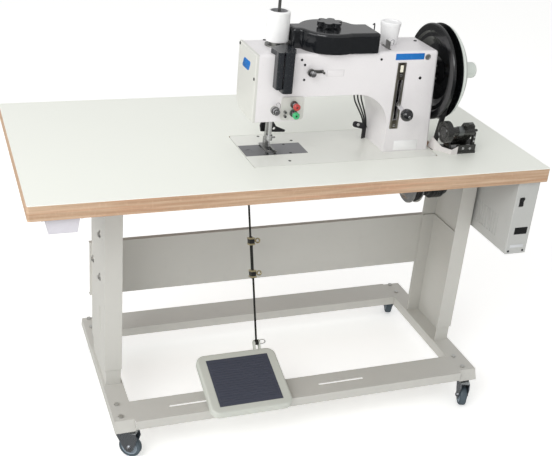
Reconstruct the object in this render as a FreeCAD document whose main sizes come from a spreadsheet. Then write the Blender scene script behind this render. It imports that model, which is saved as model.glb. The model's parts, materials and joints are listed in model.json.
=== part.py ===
"""Industrial zigzag sewing machine: head, table, stand, treadle and motor drive.

Frame: +X to the operator's right, +Y away from the operator, +Z up, in millimetres.
The origin is on the floor under the middle of the whole machine.
"""
import FreeCAD, Part
import math
import os
from types import SimpleNamespace

import Sketcher

SIZES = {
    # table board
    "table_length": 1400,
    "table_depth": 700,
    "table_thick": 40,
    "table_height": 780,
    "table_shift": 12,
    "table_corner": 6,
    "laminate_thick": 2,
    "bed_gap": 1.5,
    "bed_ledge": 14,
    "belt_slot_front": 70,
    "belt_slot_back": 104,
    "belt_slot_side": 6,
    # stand
    "stand_inset_left": 234,
    "stand_inset_right": 119,
    "sheet": 3,
    "foot_width": 56,
    "foot_length": 555,
    "foot_front": -330,
    "foot_height": 31,
    "foot_top": 118,
    "foot_slope": 14,
    "beam_width": 91,
    "beam_height": 28,
    "beam_front": -329,
    "beam_pitch": 454,
    "slot_length": 143,
    "slot_width": 9,
    "slot_middle": -43.5,
    "slot_spacing": 444,
    "slot_back": 47,
    "leg_width": 48,
    "leg_depth": 200,
    "leg_front": -154,
    "leg_bottom": 168,
    "leg_flange": 6,
    "cap_thick": 4,
    "leg_slot_low": 250,
    "leg_slot_high": 340,
    "leg_slot_width": 10,
    "leg_slot_back": 70,
    "leg_bolt_high": 562,
    "leg_bolt_low": 432,
    "leg_bolt_inset": 26,
    "post_top": 470,
    "panel_thick": 2.5,
    "panel_bottom": 298,
    "panel_height": 171,
    "panel_lip": 15,
    "bolt_head": 7,
    "bolt_height": 5,
    "front_bolt_inset": 30,
    "front_bolt_pitch": 55,
    "back_bolt_inset": 22,
    "back_bolt_pitch": 50,
    "foot_bolt_shift": 8,
    # fits
    "seat_gap": 0.3,
    "running_gap": 0.05,
    # casters
    "wheel_radius": 31.5,
    "wheel_width": 20,
    "hub_radius": 9,
    "axle_radius": 4,
    "caster_trail": 20,
    "caster_inset": 25,
    "cheek_thick": 2.5,
    "stem_radius": 6,
    "stem_reach": 8,
    "socket_radius": 16,
    "socket_thick": 4,
    # drawer
    "drawer_inset": 82,
    "drawer_drop": 2,
    "drawer_front": -323,
    "drawer_length": 300,
    "drawer_width": 82,
    "drawer_height": 41,
    "drawer_taper": 7,
    "drawer_wall": 2.5,
    "drawer_lip": 5,
    "rail_thick": 3,
    "rail_play": 1.2,
    # treadle
    "pedal_x": -116,
    "pedal_pivot_y": -270.5,
    "pedal_pivot_rise": 13,
    "pedal_tilt": 17,
    "pedal_width": 238,
    "pedal_length": 206.8,
    "pedal_front": 89.8,
    "pedal_thick": 20,
    "pedal_lift": 5,
    "pedal_corner": 26,
    "pedal_soft": 7,
    "pedal_rim": 8,
    "pedal_hollow": 12,
    "lug_inset": 36,
    "mat_width": 185,
    "mat_length": 162,
    "mat_depth": 4,
    "mat_rib": 1.2,
    "mat_border": 6,
    "pin_radius": 5,
    "ear_radius": 9.5,
    "ear_thick": 5,
    "cross_pin": 3,
    # treadle rod
    "rod_x": -46,
    "rod_reach": 133,
    "rod_rise": 31.5,
    "rod_lean": 20.5,
    "rod_drop": 75,
    "rod_radius": 3,
    "rod_eye": 5,
    "eye_radius": 8,
    "rod_offset": 9,
    "lower_rod_top": 312,
    "upper_rod_bottom": 188,
    "clamp_low": 203,
    "clamp_high": 298,
    "clamp_size": 14,
    # speed control under the table
    "speed_width": 60,
    "speed_depth": 80,
    "speed_height": 92,
    "speed_x": -50,
    "speed_front": 56,
    "lever_reach": 62,
    "lever_drop": 22,
    "lever_thick": 4,
    "lever_pin": 4,
    "lever_spindle": 5,
    "lever_hub": 11,
    "speed_ear": 12,
    "speed_ear_thick": 4,
    # motor and belt
    "drive_y": -92,
    "motor_y": -60,
    "motor_drop": 108,
    "belt_x": 438,
    "belt_width": 12,
    "belt_thick": 8,
    "wheel_pitch": 100,
    "motor_pitch": 50,
    "pulley_radius": 57,
    "pulley_width": 34,
    "motor_radius": 44,
    "motor_left": 480,
    "motor_length": 61,
    "motor_bell": 12,
    "motor_step": 5,
    "motor_fin": 3,
    "motor_shaft": 8,
    "motor_seat": 28,
    "hanger_half": 28,
    "hanger_plate": 6,
    "hanger_reach": 62,
    # control box
    "control_inset": 15,
    "control_width": 69,
    "control_front": -328,
    "control_depth": 250,
    "control_height": 224,
    "control_round": 3,
    "switch_inset": 20.5,
    "switch_drop": 62,
    "switch_width": 15,
    "switch_height": 28,
    "switch_pit": 14,
    "switch_barrel": 5,
    "switch_axis": 6,
    "switch_play": 2.2,
    "screen_left": 17,
    "screen_right": 10,
    "screen_rise": 61,
    "screen_height": 22,
    "screen_deep": 2,
    "vent_front": 60,
    "vent_pitch": 14,
    "vent_width": 6,
    "vent_low": 30,
    "vent_high": 95,
    "vent_deep": 1.5,
    # bed
    "bed_left": -112,
    "bed_length": 534,
    "bed_depth": 222,
    "bed_thick": 10,
    "bed_corner": 10,
    "skirt_drop": 62,
    "skirt_wall": 8,
    "rib_left": 60,
    "rib_right": 276,
    "rib_thick": 14,
    "rib_drop": 22,
    "hook_bush": 12,
    "well_right": 20,
    "plate_right": 67,
    "plate_split": -62,
    "plate_depth": 76,
    "plate_thick": 3,
    "feed_gauge": 12,
    "feed_slot": 4,
    "feed_slot_half": 24,
    "feed_half": 18,
    "feed_deep": 10,
    "feed_rise": 0.6,
    "finger_radius": 9,
    "finger_inset": 20,
    "guide_hole": 2.5,
    "guide_pcd": 146,
    "guide_x": 24,
    "guide_y": -106,
    "guide_turn": 68,
    # head and arm
    "arm_reach": 64,
    "arm_depth": 140,
    "head_right": 22,
    "head_rise": 104,
    "arm_rise": 168,
    "arm_top_rise": 282,
    "column_left": 277,
    "column_top_right": 402,
    "column_base_right": 415,
    "arch_radius": 98,
    "cast_wall": 8,
    "cast_round": 7,
    "head_back_round": 44,
    "waist_round": 11,
    "face_thick": 8,
    "face_round": 2.5,
    "arm_rib": 14,
    "needle_slot": 13,
    "needle_slot_half": 8,
    "take_slot_low": 182,
    "take_slot_high": 270,
    "take_slot_half": 4,
    # shafts
    "shaft_rise": 205,
    "left_bush": 16,
    "right_bush": 18,
    "shaft_radius": 10,
    "shaft_right": 540,
    "crank_radius": 26,
    "crank_throw": 23,
    "crank_disc": 12,
    "crank_pin": 4,
    "upright_x": 345,
    "upright_radius": 8,
    "bevel_radius": 30,
    "bevel_face": 10,
    "hook_drop": 58,
    "hook_shaft": 8,
    "hook_radius": 27,
    "hook_length": 36,
    "hook_wall": 5,
    "hook_face": -43,
    # handwheel
    "rim_radius": 131,
    "rim_left": 420,
    "rim_right": 452,
    "disc_radius": 126,
    "disc_bulge": 50,
    "disc_band": 8,
    "disc_wall": 4,
    "hub_cap_radius": 22,
    "hub_cap_end": 559,
    "hub_cap_round": 6,
    # needle and presser
    "needle_x": -35,
    "needle_bar": 5,
    "needle_drop": 8,
    "bar_foot_rise": 28,
    "bar_top_rise": 218,
    "swing_rise": 260,
    "swing_pin": 4,
    "bar_guide_rise": 200,
    "bar_bush": 7.5,
    "bar_bush_drop": 14,
    "collar_rise": 154,
    "link_reach": 23,
    "link_thick": 7,
    "crank_turn": 49,
    "crank_gap": 1.6,
    "presser_back": 26,
    "foot_length_sole": 74,
    "foot_width_sole": 28,
    "sole_rise": 1,
    "holder_radius": 8,
    "holder_low": 12,
    "holder_high": 26,
    "lifter_rise": 79,
    "lifter_thick": 4,
    "lifter_pin": 3,
    "take_up_x": -28,
    "take_up_pivot": 26,
    "take_up_reach": 38,
    "take_up_lift": 30,
    "take_up_half": 2,
    # covers and controls
    "guard_left": -62,
    "guard_split": -44,
    "guard_right": -15.5,
    "guard_deep": 28,
    "guard_rise": 187,
    "guard_left_rise": 198,
    "guard_top_rise": 294,
    "guard_wall": 4,
    "guard_round": 8,
    "cover_x": 105,
    "cover_radius": 82,
    "cover_left": 2,
    "cover_right": 222,
    "cover_left_front": 13,
    "cover_left_back": 41,
    "cover_right_front": 74,
    "cover_right_back": 24,
    "cover_height": 52,
    "cover_wall": 9,
    "cover_roof": 6,
    "cover_round": 8,
    "knob_radius": 24,
    "knob_height": 14,
    "knob_step": 3,
    "knob_bore": 9,
    "lobe_radius": 10,
    "cam_radius": 62,
    "cam_rise": 14,
    "cam_thick": 10,
    "cam_hub": 9,
    "cam_notch": 7,
    "cam_boss": 14,
    "stud_radius": 6,
    "panel_left": -35,
    "panel_right": 28,
    "panel_rise": 108,
    "panel_top_rise": 170,
    "panel_sheet": 3,
    "panel_round": 8,
    "tension_x": -2,
    "red_rise": 151,
    "green_rise": 128,
    "tension_post": 3,
    "tension_disc": 10,
    "check_x": -53,
    "check_rise": 137,
    "check_radius": 11,
    "stop_x": -24,
    "stop_radius": 3.5,
    "nut_radius": 9,
    "scale_x": 298,
    "scale_rise": 68,
    "scale_top_rise": 252,
    "scale_width": 24,
    "scale_sheet": 2,
    "scale_slot_low": 24,
    "scale_slot_high": 47,
    "scale_slot_half": 8,
    "stitch_rise": 146,
    "stitch_pivot": 36,
    "stitch_pin": 4,
    "stitch_half": 4,
    "ball_drop": 17,
    "ball_radius": 17,
    "ball_reach": 100,
    # thread supply
    "spool_x": -29,
    "spool_y": -73,
    "spool_radius": 30,
    "spool_rise": 294,
    "spool_height": 79,
    "spool_plate": 4,
    "spool_neck": 20,
    "spool_pin": 4,
    "pin_rise": 400,
    "cup_x": 290,
    "cup_y": -77,
    "cup_foot": 22,
    "cup_radius": 27.5,
    "cup_height": 58,
    "post_x": 37,
    "post_rise": 235,
    "post_radius": 4,
    "post_reach": 22,
    "hook_right": 73,
    "clip_x": 263,
    "clip_front": -138,
    "clip_back": -90,
    "clip_height": 22,
    # winder
    "winder_left": 463,
    "winder_width": 78,
    "winder_front": -201,
    "winder_depth": 62,
    "winder_plate": 6,
    "winder_cheek": 6,
    "winder_block": 18,
    "winder_wall": 24,
    "winder_post": 58,
    "winder_wheel": 30,
    "winder_wheel_half": 9,
    "winder_wheel_y": -200,
    "winder_wheel_rise": 67,
    "winder_boss": 12,
    "winder_spindle": 4,
    "winder_pivot_y": -160,
    "winder_pivot_rise": 20,
    "winder_hub": 9,
    "winder_pin": 4,
    "winder_bracket": 492,
    # cables
    "cable_radius": 2.2,
    "cable_y": -48,
    "cable_top": 219,
    "cable_top_pitch": 12,
    "cable_foot": 261,
    "cable_foot_pitch": 5.2,
    "cable_bend_high": 120,
    "cable_bend_low": 52,
}

doc = FreeCAD.newDocument("sewing_machine")
sheet = doc.addObject("Spreadsheet::Sheet", "dim")
for row, (alias, number_text) in enumerate(SIZES.items(), 1):
    sheet.set("A%d" % row, alias)
    sheet.set("B%d" % row, str(number_text))
    sheet.setAlias("B%d" % row, alias)
doc.recompute()


class Size:
    """A length or angle that knows its value and the sheet formula behind it."""

    def __init__(self, value, text):
        self.value = value
        self.text = text

    def __add__(self, other):
        return Size(self.value + number(other), "(%s + %s)" % (self.text, formula(other)))

    def __radd__(self, other):
        return self + other

    def __sub__(self, other):
        return Size(self.value - number(other), "(%s - %s)" % (self.text, formula(other)))

    def __rsub__(self, other):
        return Size(number(other) - self.value, "(%s - %s)" % (formula(other), self.text))

    def __mul__(self, other):
        return Size(self.value * number(other), "(%s * %s)" % (self.text, formula(other)))

    def __rmul__(self, other):
        return self * other

    def __truediv__(self, other):
        return Size(self.value / number(other), "(%s / %s)" % (self.text, formula(other)))

    def __neg__(self):
        return Size(-self.value, "(0 - %s)" % self.text)


def number(size):
    return size.value if isinstance(size, Size) else float(size)


def formula(size):
    return size.text if isinstance(size, Size) else "(%r)" % float(size)


def sine(angle):
    return Size(math.sin(math.radians(number(angle))), "sin(%s)" % formula(angle))


def cosine(angle):
    return Size(math.cos(math.radians(number(angle))), "cos(%s)" % formula(angle))


d = SimpleNamespace(**{alias: Size(float(sheet.get(alias)), "dim." + alias) for alias in SIZES})

TURN = {
    "x": FreeCAD.Rotation(FreeCAD.Vector(0, 1, 0), 90),
    "y": FreeCAD.Rotation(FreeCAD.Vector(1, 0, 0), -90),
    "z": FreeCAD.Rotation(),
}
nodes = []


def bind(item, prop, size):
    """Set one property, by formula where the size comes from the sheet."""
    if isinstance(size, Size):
        item.setExpression(prop, size.text)
    else:
        setattr(item, prop, size)


def place(item, x, y, z, rotation=None):
    """Put an object at a point, its three coordinates bound to the sheet."""
    point = FreeCAD.Vector(number(x), number(y), number(z))
    item.Placement = FreeCAD.Placement(point, rotation or FreeCAD.Rotation())
    for axis, size in zip("xyz", (x, y, z)):
        if isinstance(size, Size):
            item.setExpression("Placement.Base." + axis, size.text)
    return item


def box(x0, x1, y0, y1, z0, z1):
    item = doc.addObject("Part::Box", "box")
    bind(item, "Length", x1 - x0)
    bind(item, "Width", y1 - y0)
    bind(item, "Height", z1 - z0)
    return place(item, x0, y0, z0)


def rod(axis, radius, start, end, u, v):
    """A cylinder along an axis from start to end; u and v are the other two coordinates in order."""
    item = doc.addObject("Part::Cylinder", "rod")
    bind(item, "Radius", radius)
    bind(item, "Height", end - start)
    point = {"x": (start, u, v), "y": (u, start, v), "z": (u, v, start)}[axis]
    return place(item, *point, rotation=TURN[axis])


def cone(axis, radius_start, radius_end, start, end, u, v):
    item = doc.addObject("Part::Cone", "cone")
    bind(item, "Radius1", radius_start)
    bind(item, "Radius2", radius_end)
    bind(item, "Height", end - start)
    point = {"x": (start, u, v), "y": (u, start, v), "z": (u, v, start)}[axis]
    return place(item, *point, rotation=TURN[axis])


def ball(radius, x, y, z):
    item = doc.addObject("Part::Sphere", "ball")
    bind(item, "Radius", radius)
    return place(item, x, y, z)


def hexagon(axis, radius, start, end, u, v):
    item = doc.addObject("Part::Prism", "hexagon")
    item.Polygon = 6
    bind(item, "Circumradius", radius)
    bind(item, "Height", end - start)
    point = {"x": (start, u, v), "y": (u, start, v), "z": (u, v, start)}[axis]
    return place(item, *point, rotation=TURN[axis])


def cut(base, *tools):
    for tool in tools:
        item = doc.addObject("Part::Cut", "cut")
        item.Base = base
        item.Tool = tool
        base = item
    return base


def common(base, tool):
    item = doc.addObject("Part::Common", "common")
    item.Base = base
    item.Tool = tool
    return item


def fuse(*pieces):
    item = doc.addObject("Part::MultiFuse", "fuse")
    item.Shapes = list(pieces)
    item.Refine = True
    return item


def group(*pieces):
    """Separate solids that share one node."""
    item = doc.addObject("Part::Compound", "group")
    item.Links = list(pieces)
    return item


def rounded(base, radius, pick):
    """Round the edges of a solid that pick() chooses by their middle point and direction."""
    doc.recompute()
    edges = []
    for index, edge in enumerate(base.Shape.Edges, 1):
        middle = edge.CenterOfMass
        first, last = edge.Vertexes[0].Point, edge.Vertexes[-1].Point
        if pick(middle, last - first, edge):
            edges.append((index, number(radius), number(radius)))
    item = doc.addObject("Part::Fillet", "rounded")
    item.Base = base
    item.Edges = edges
    return item


def along(axis):
    """Pick straight edges that run along one axis."""
    index = "xyz".index(axis)

    def test(middle, run, edge):
        others = [abs(run[k]) for k in range(3) if k != index]
        return max(others) < 1e-6 and abs(run[index]) > 1e-6
    return test


def origin_plane(body, plane):
    role = plane.upper() + "_Plane"
    return [feature for feature in body.Origin.OriginFeatures if feature.Role == role][0]


def outline(body, plane, points, lift=0):
    """A closed sketch of straight lines through points whose coordinates are bound to the sheet."""
    sketch = body.newObject("Sketcher::SketchObject", "outline")
    sketch.AttachmentSupport = [(origin_plane(body, plane), "")]
    sketch.MapMode = "FlatFace"
    sketch.AttachmentOffset = FreeCAD.Placement(FreeCAD.Vector(0, 0, number(lift)), FreeCAD.Rotation())
    if isinstance(lift, Size):
        sketch.setExpression("AttachmentOffset.Base.z", lift.text)
    corners = [FreeCAD.Vector(number(a), number(b), 0) for a, b in points]
    count = len(corners)
    for index in range(count):
        sketch.addGeometry(Part.LineSegment(corners[index], corners[(index + 1) % count]), False)
    for index in range(count):
        sketch.addConstraint(Sketcher.Constraint("Coincident", index, 2, (index + 1) % count, 1))
    for index, point in enumerate(points):
        for kind, size, axis_line in (("DistanceX", point[0], -2), ("DistanceY", point[1], -1)):
            if number(size) == 0:
                sketch.addConstraint(Sketcher.Constraint("PointOnObject", index, 1, axis_line))
                continue
            limit = Sketcher.Constraint(kind, -1, 1, index, 1, number(size))
            added = sketch.addConstraint(limit)
            if isinstance(size, Size):
                sketch.setExpression("Constraints[%d]" % added, size.text)
    return sketch


def profile(plane, points, start, end):
    """A body padded from start to end across its sketch plane."""
    body = doc.addObject("PartDesign::Body", "body")
    lift = -end if plane == "xz" else start
    sketch = outline(body, plane, points, lift)
    pad = body.newObject("PartDesign::Pad", "pad")
    pad.Profile = sketch
    bind(pad, "Length", end - start)
    return body


def turned(axis, points, u, v):
    """A body turned about an axis: points are (place along the axis, radius)."""
    body = doc.addObject("PartDesign::Body", "body")
    if axis == "x":
        sketch = outline(body, "xz", points)
    else:
        sketch = outline(body, "xz" if axis == "z" else "xy", [(radius, run) for run, radius in points])
    turn = body.newObject("PartDesign::Revolution", "turn")
    turn.Profile = sketch
    turn.ReferenceAxis = (sketch, ["H_Axis" if axis == "x" else "V_Axis"])
    turn.Angle = 360
    point = {"x": (0, u, v), "y": (u, 0, v), "z": (u, v, 0)}[axis]
    return place(body, *point)


def node(label, item):
    """Name a finished sub-part; its label names its file."""
    item.Label = label
    nodes.append(item)
    return item


# how many of what repeats
MAT_RIBS = 18
MOTOR_FINS = 4
VENTS = 8
FEED_TEETH = 8
KNOB_LOBES = 6
CAM_NOTCHES = 12
LEADS = 3

# levels and lines that several pieces share
table_under = d.table_height - d.table_thick
table_front = d.table_shift - d.table_depth / 2
table_back = d.table_shift + d.table_depth / 2
laminate_under = d.table_height - d.laminate_thick
bed_right = d.bed_left + d.bed_length
bed_front = d.drive_y - d.bed_depth / 2
bed_back = d.drive_y + d.bed_depth / 2
bed_under = d.table_height - d.bed_thick
stand_left = d.stand_inset_left - d.table_length / 2
stand_right = d.table_length / 2 - d.stand_inset_right
foot_bottom = d.foot_top - d.foot_height
foot_back = d.foot_front + d.foot_length
leg_back = d.leg_front + d.leg_depth
drawer_x = d.drawer_inset - d.table_length / 2
motor_z = table_under - d.motor_drop
arm_front = d.drive_y - d.arm_reach
arm_back = arm_front + d.arm_depth
cast_left = d.bed_left + 1 + d.face_thick
head_bottom = d.table_height + d.head_rise
arm_under = d.table_height + d.arm_rise
arm_top = d.table_height + d.arm_top_rise
rib_face = d.head_right - 2
shaft_z = d.table_height + d.shaft_rise
hook_z = d.table_height - d.hook_drop
needle_tip = d.table_height - d.needle_drop
bar_foot = d.table_height + d.bar_foot_rise
bar_top = d.table_height + d.bar_top_rise
swing_z = d.table_height + d.swing_rise
bar_guide_low = d.table_height + d.bar_guide_rise
collar_level = d.table_height + d.collar_rise
lifter_z = d.table_height + d.lifter_rise
presser_y = d.drive_y + d.presser_back
red_z = d.table_height + d.red_rise
green_z = d.table_height + d.green_rise
scale_low = d.table_height + d.scale_rise
scale_high = d.table_height + d.scale_top_rise
stitch_z = d.table_height + d.stitch_rise


def build_table():
    """Plywood board with its laminate, the sunk seats for bed and winder, and the drawer rails."""
    half = d.table_length / 2
    board = rounded(box(-half, half, table_front, table_back, table_under, laminate_under),
                    d.table_corner, along("z"))
    skin = rounded(box(-half, half, table_front, table_back, laminate_under, d.table_height),
                   d.table_corner, along("z"))
    seat = (d.bed_left - d.bed_gap, bed_right + d.bed_gap, bed_front - d.bed_gap, bed_back + d.bed_gap)
    inset = d.bed_ledge
    through = (seat[0] + inset, seat[1] - inset, seat[2] + inset, seat[3] - inset)
    slot_half = d.belt_width / 2 + d.belt_slot_side
    slot = (d.belt_x - slot_half, d.belt_x + slot_half,
            d.drive_y - d.belt_slot_front, d.drive_y + d.belt_slot_back)
    gap = d.seat_gap
    winder_seat = (d.winder_left - gap, d.winder_left + d.winder_width + gap,
                   d.winder_front - gap, d.winder_front + d.winder_depth + gap)
    above = d.table_height + 1
    board = cut(board, box(*seat, bed_under, above), box(*through, table_under - 1, above),
                box(*slot, table_under - 1, above))
    skin = cut(skin, box(*seat, bed_under, above), box(*slot, bed_under, above),
               box(*winder_seat, laminate_under - 1, above))
    rails = []
    lip_half = d.drawer_width / 2 + d.drawer_lip
    rail_low = table_under - d.drawer_drop - d.rail_thick - gap - d.rail_thick
    back = d.drawer_front + d.drawer_length
    for side in (-1, 1):
        web_in = drawer_x + side * (lip_half + gap)
        web_out = web_in + side * d.rail_thick
        toe = drawer_x + side * (d.drawer_width / 2 + d.rail_play)
        web = sorted((web_in, web_out), key=number)
        foot = sorted((web_out, toe), key=number)
        rails.append(fuse(box(*web, d.drawer_front, back, rail_low, table_under),
                          box(*foot, d.drawer_front, back, rail_low, rail_low + d.rail_thick)))
    node("table_top", group(board, skin, *rails))


def channel(web, side, depth_front, depth_back, width, low, high, thick):
    """A C-channel upright whose web stands at x = web and whose flanges run inwards."""
    inner = web - side * width
    x0, x1 = sorted((web, inner), key=number)
    outer = box(x0, x1, depth_front, depth_back, low, high)
    h0, h1 = sorted((web - side * thick, inner - side * 1), key=number)
    hollow = box(h0, h1, depth_front + thick, depth_back - thick, low - 1, high + 1)
    return cut(outer, hollow)


def foot_tray(middle):
    """A channel foot, open below, whose two ends slope in towards the top."""
    def section(wall, low):
        high = d.foot_top - wall
        slope = d.foot_slope
        return [(d.foot_front + wall, low), (foot_back - wall, low), (foot_back - slope - wall, high),
                (d.foot_front + slope + wall, high)]

    half = d.foot_width / 2
    inner = half - d.sheet
    outside = profile("yz", section(0, foot_bottom), middle - half, middle + half)
    inside = profile("yz", section(d.sheet, foot_bottom - 1), middle - inner, middle + inner)
    return cut(outside, inside)


def build_stand():
    """Two telescopic legs on channel feet, tied by beams and a folded panel."""
    legs = []
    feet = []
    bolts = []
    slot_y = d.leg_front + d.leg_slot_back
    slot_half = d.leg_slot_width / 2
    cap_half = d.leg_width / 2 + d.leg_flange
    for side, middle in ((-1, stand_left), (1, stand_right)):
        web = middle + side * d.leg_width / 2
        upper = channel(web, side, d.leg_front, leg_back, d.leg_width, d.leg_bottom, table_under, d.sheet)
        cap = box(middle - cap_half, middle + cap_half, d.leg_front - d.leg_flange, leg_back + d.leg_flange,
                  table_under - d.cap_thick, table_under)
        w0, w1 = sorted((web - side * (d.sheet + 1), web + side * 1), key=number)
        low_slot = box(w0, w1, slot_y - slot_half, slot_y + slot_half, d.leg_slot_low, d.leg_slot_high)
        legs.append(cut(fuse(upper, cap), low_slot))
        step = d.sheet + d.seat_gap
        post = channel(web - side * step, side, d.leg_front + step, leg_back - step,
                       d.leg_width - step - 2, d.foot_top - 1, d.post_top, d.sheet)
        feet.append(fuse(foot_tray(middle), post))
        b0, b1 = sorted((web, web + side * d.bolt_height), key=number)
        for bolt_y, bolt_z in ((slot_y, d.leg_bolt_high), (leg_back - d.leg_bolt_inset, d.leg_bolt_low),
                               (slot_y, d.leg_bolt_low)):
            bolts.append(hexagon("x", d.bolt_head, b0, b1, bolt_y, bolt_z))
        for stem_y in (d.foot_front + d.caster_inset, foot_back - d.caster_inset):
            socket = rod("z", d.socket_radius, foot_bottom, foot_bottom + d.socket_thick, middle, stem_y)
            stem = rod("z", d.stem_radius, foot_bottom - d.stem_reach, d.foot_top - d.sheet, middle, stem_y)
            bolts.append(fuse(socket, stem))
        front_bolt = d.foot_front + d.front_bolt_inset
        back_bolt = foot_back - d.back_bolt_inset
        for bolt_y in (front_bolt, front_bolt + d.front_bolt_pitch, back_bolt - d.back_bolt_pitch, back_bolt):
            bolts.append(hexagon("z", d.bolt_head, d.foot_top, d.foot_top + d.bolt_height,
                                 middle - d.foot_bolt_shift, bolt_y))
    node("legs", group(*legs))
    node("feet", group(*feet))
    node("stand_bolts", group(*bolts))
    build_beams()
    top = d.panel_bottom + d.panel_height
    lip = leg_back + d.panel_lip
    face = leg_back + d.panel_thick
    section = [(leg_back, d.panel_bottom), (lip, d.panel_bottom), (lip, d.panel_bottom + d.panel_thick),
               (face, d.panel_bottom + d.panel_thick), (face, top - d.panel_thick),
               (lip, top - d.panel_thick), (lip, top), (leg_back, top)]
    node("cross_panel", profile("yz", section, stand_left - cap_half, stand_right + cap_half))


def build_beams():
    """Front and rear beams between the feet; the front one is slotted for the treadle."""
    x0 = stand_left + d.foot_width / 2
    x1 = stand_right - d.foot_width / 2
    beams = []
    for front in (d.beam_front, d.beam_front + d.beam_pitch):
        back = front + d.beam_width
        beam = cut(box(x0, x1, front, back, d.foot_top - d.beam_height, d.foot_top),
                   box(x0 - 1, x1 + 1, front + d.sheet, back - d.sheet,
                       d.foot_top - d.beam_height - 1, d.foot_top - d.sheet))
        beams.append(beam)
    slot_y = d.beam_front + d.slot_back
    half_width = d.slot_width / 2
    for side in (-1, 1):
        middle = d.slot_middle + side * d.slot_spacing / 2
        half_run = d.slot_length / 2 - half_width
        low = d.foot_top - d.sheet - 1
        high = d.foot_top + 1
        opening = fuse(box(middle - half_run, middle + half_run, slot_y - half_width, slot_y + half_width,
                           low, high),
                       rod("z", half_width, low, high, middle - half_run, slot_y),
                       rod("z", half_width, low, high, middle + half_run, slot_y))
        beams[0] = cut(beams[0], opening)
    node("cross_beams", group(*beams))


CASTERS = (
    ("front_left", -1, -1, 53),
    ("front_right", 1, -1, -20),
    ("back_left", -1, 1, 165),
    ("back_right", 1, 1, 160),
)


def build_caster(label, side, end, heading):
    """A swivel caster: a hooded fork that trails its wheel, built trailing to -Y and then turned."""
    middle = stand_left if side < 0 else stand_right
    stem_y = d.foot_front + d.caster_inset if end < 0 else foot_back - d.caster_inset
    turn = FreeCAD.Rotation(FreeCAD.Vector(0, 0, 1), heading)
    inner = d.wheel_width / 2 + d.seat_gap * 5
    outer = inner + d.cheek_thick
    crown_top = foot_bottom - d.seat_gap
    crown_low = crown_top - 6
    axle_y = -d.caster_trail
    cheeks = []
    for sign in (-1, 1):
        c0, c1 = sorted((sign * inner, sign * outer), key=number)
        shape = [(axle_y - 14, d.wheel_radius - 4), (axle_y - 6, d.wheel_radius - 13),
                 (axle_y + 6, d.wheel_radius - 13), (axle_y + 15, d.wheel_radius - 2),
                 (d.socket_radius, crown_low - 16), (d.socket_radius, crown_low + 1),
                 (axle_y - 20, crown_low + 1), (axle_y - 24, crown_low - 14)]
        cheeks.append(profile("yz", shape, c0, c1))
    hood = box(-outer, outer, axle_y - 20, d.socket_radius, crown_low, crown_low + d.cheek_thick)
    crown = rod("z", d.socket_radius, crown_low, crown_top, 0, 0)
    axle = rod("x", d.axle_radius, -outer - 2, outer + 2, axle_y, d.wheel_radius)
    bore = rod("z", d.stem_radius + d.running_gap, crown_low - 3, crown_top + 1, 0, 0)
    fork = cut(fuse(*cheeks, hood, crown, axle), bore)
    node("caster_fork_" + label, place(fork, middle, stem_y, 0, turn))
    half = d.wheel_width / 2
    edge = d.wheel_radius
    bore_radius = d.axle_radius + d.running_gap
    hub_half = inner - d.seat_gap
    section = [(-hub_half, bore_radius), (hub_half, bore_radius), (hub_half, d.hub_radius),
               (half - 4, d.hub_radius + 1), (half - 4, edge - 8), (half, edge - 6), (half, edge - 2),
               (half - 2.5, edge), (2.5 - half, edge), (-half, edge - 2), (-half, edge - 6),
               (4 - half, edge - 8), (4 - half, d.hub_radius + 1), (-hub_half, d.hub_radius)]
    wheel = group(turned("x", section, axle_y, d.wheel_radius))
    node("caster_wheel_" + label, place(wheel, middle, stem_y, 0, turn))


def build_drawer():
    """Moulded tray with drafted sides that hangs by its lips."""
    top = table_under - d.drawer_drop
    low = top - d.drawer_height
    half = d.drawer_width / 2
    foot = half - d.drawer_taper
    wall = d.drawer_wall
    back = d.drawer_front + d.drawer_length
    x = drawer_x
    outer = profile("xz", [(x - foot, low), (x + foot, low), (x + half, top), (x - half, top)],
                    d.drawer_front, back)
    hollow = profile("xz", [(x - foot + wall, low + wall), (x + foot - wall, low + wall),
                            (x + half - wall, top + 1), (x - half + wall, top + 1)],
                     d.drawer_front + wall, back - wall)
    lip = half + d.drawer_lip
    lips = cut(box(x - lip, x + lip, d.drawer_front, back, top - d.rail_thick, top),
               box(x - half + wall, x + half - wall, d.drawer_front + wall, back - wall,
                   top - d.rail_thick - 1, top + 1))
    node("drawer", cut(fuse(outer, lips), hollow))


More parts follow.
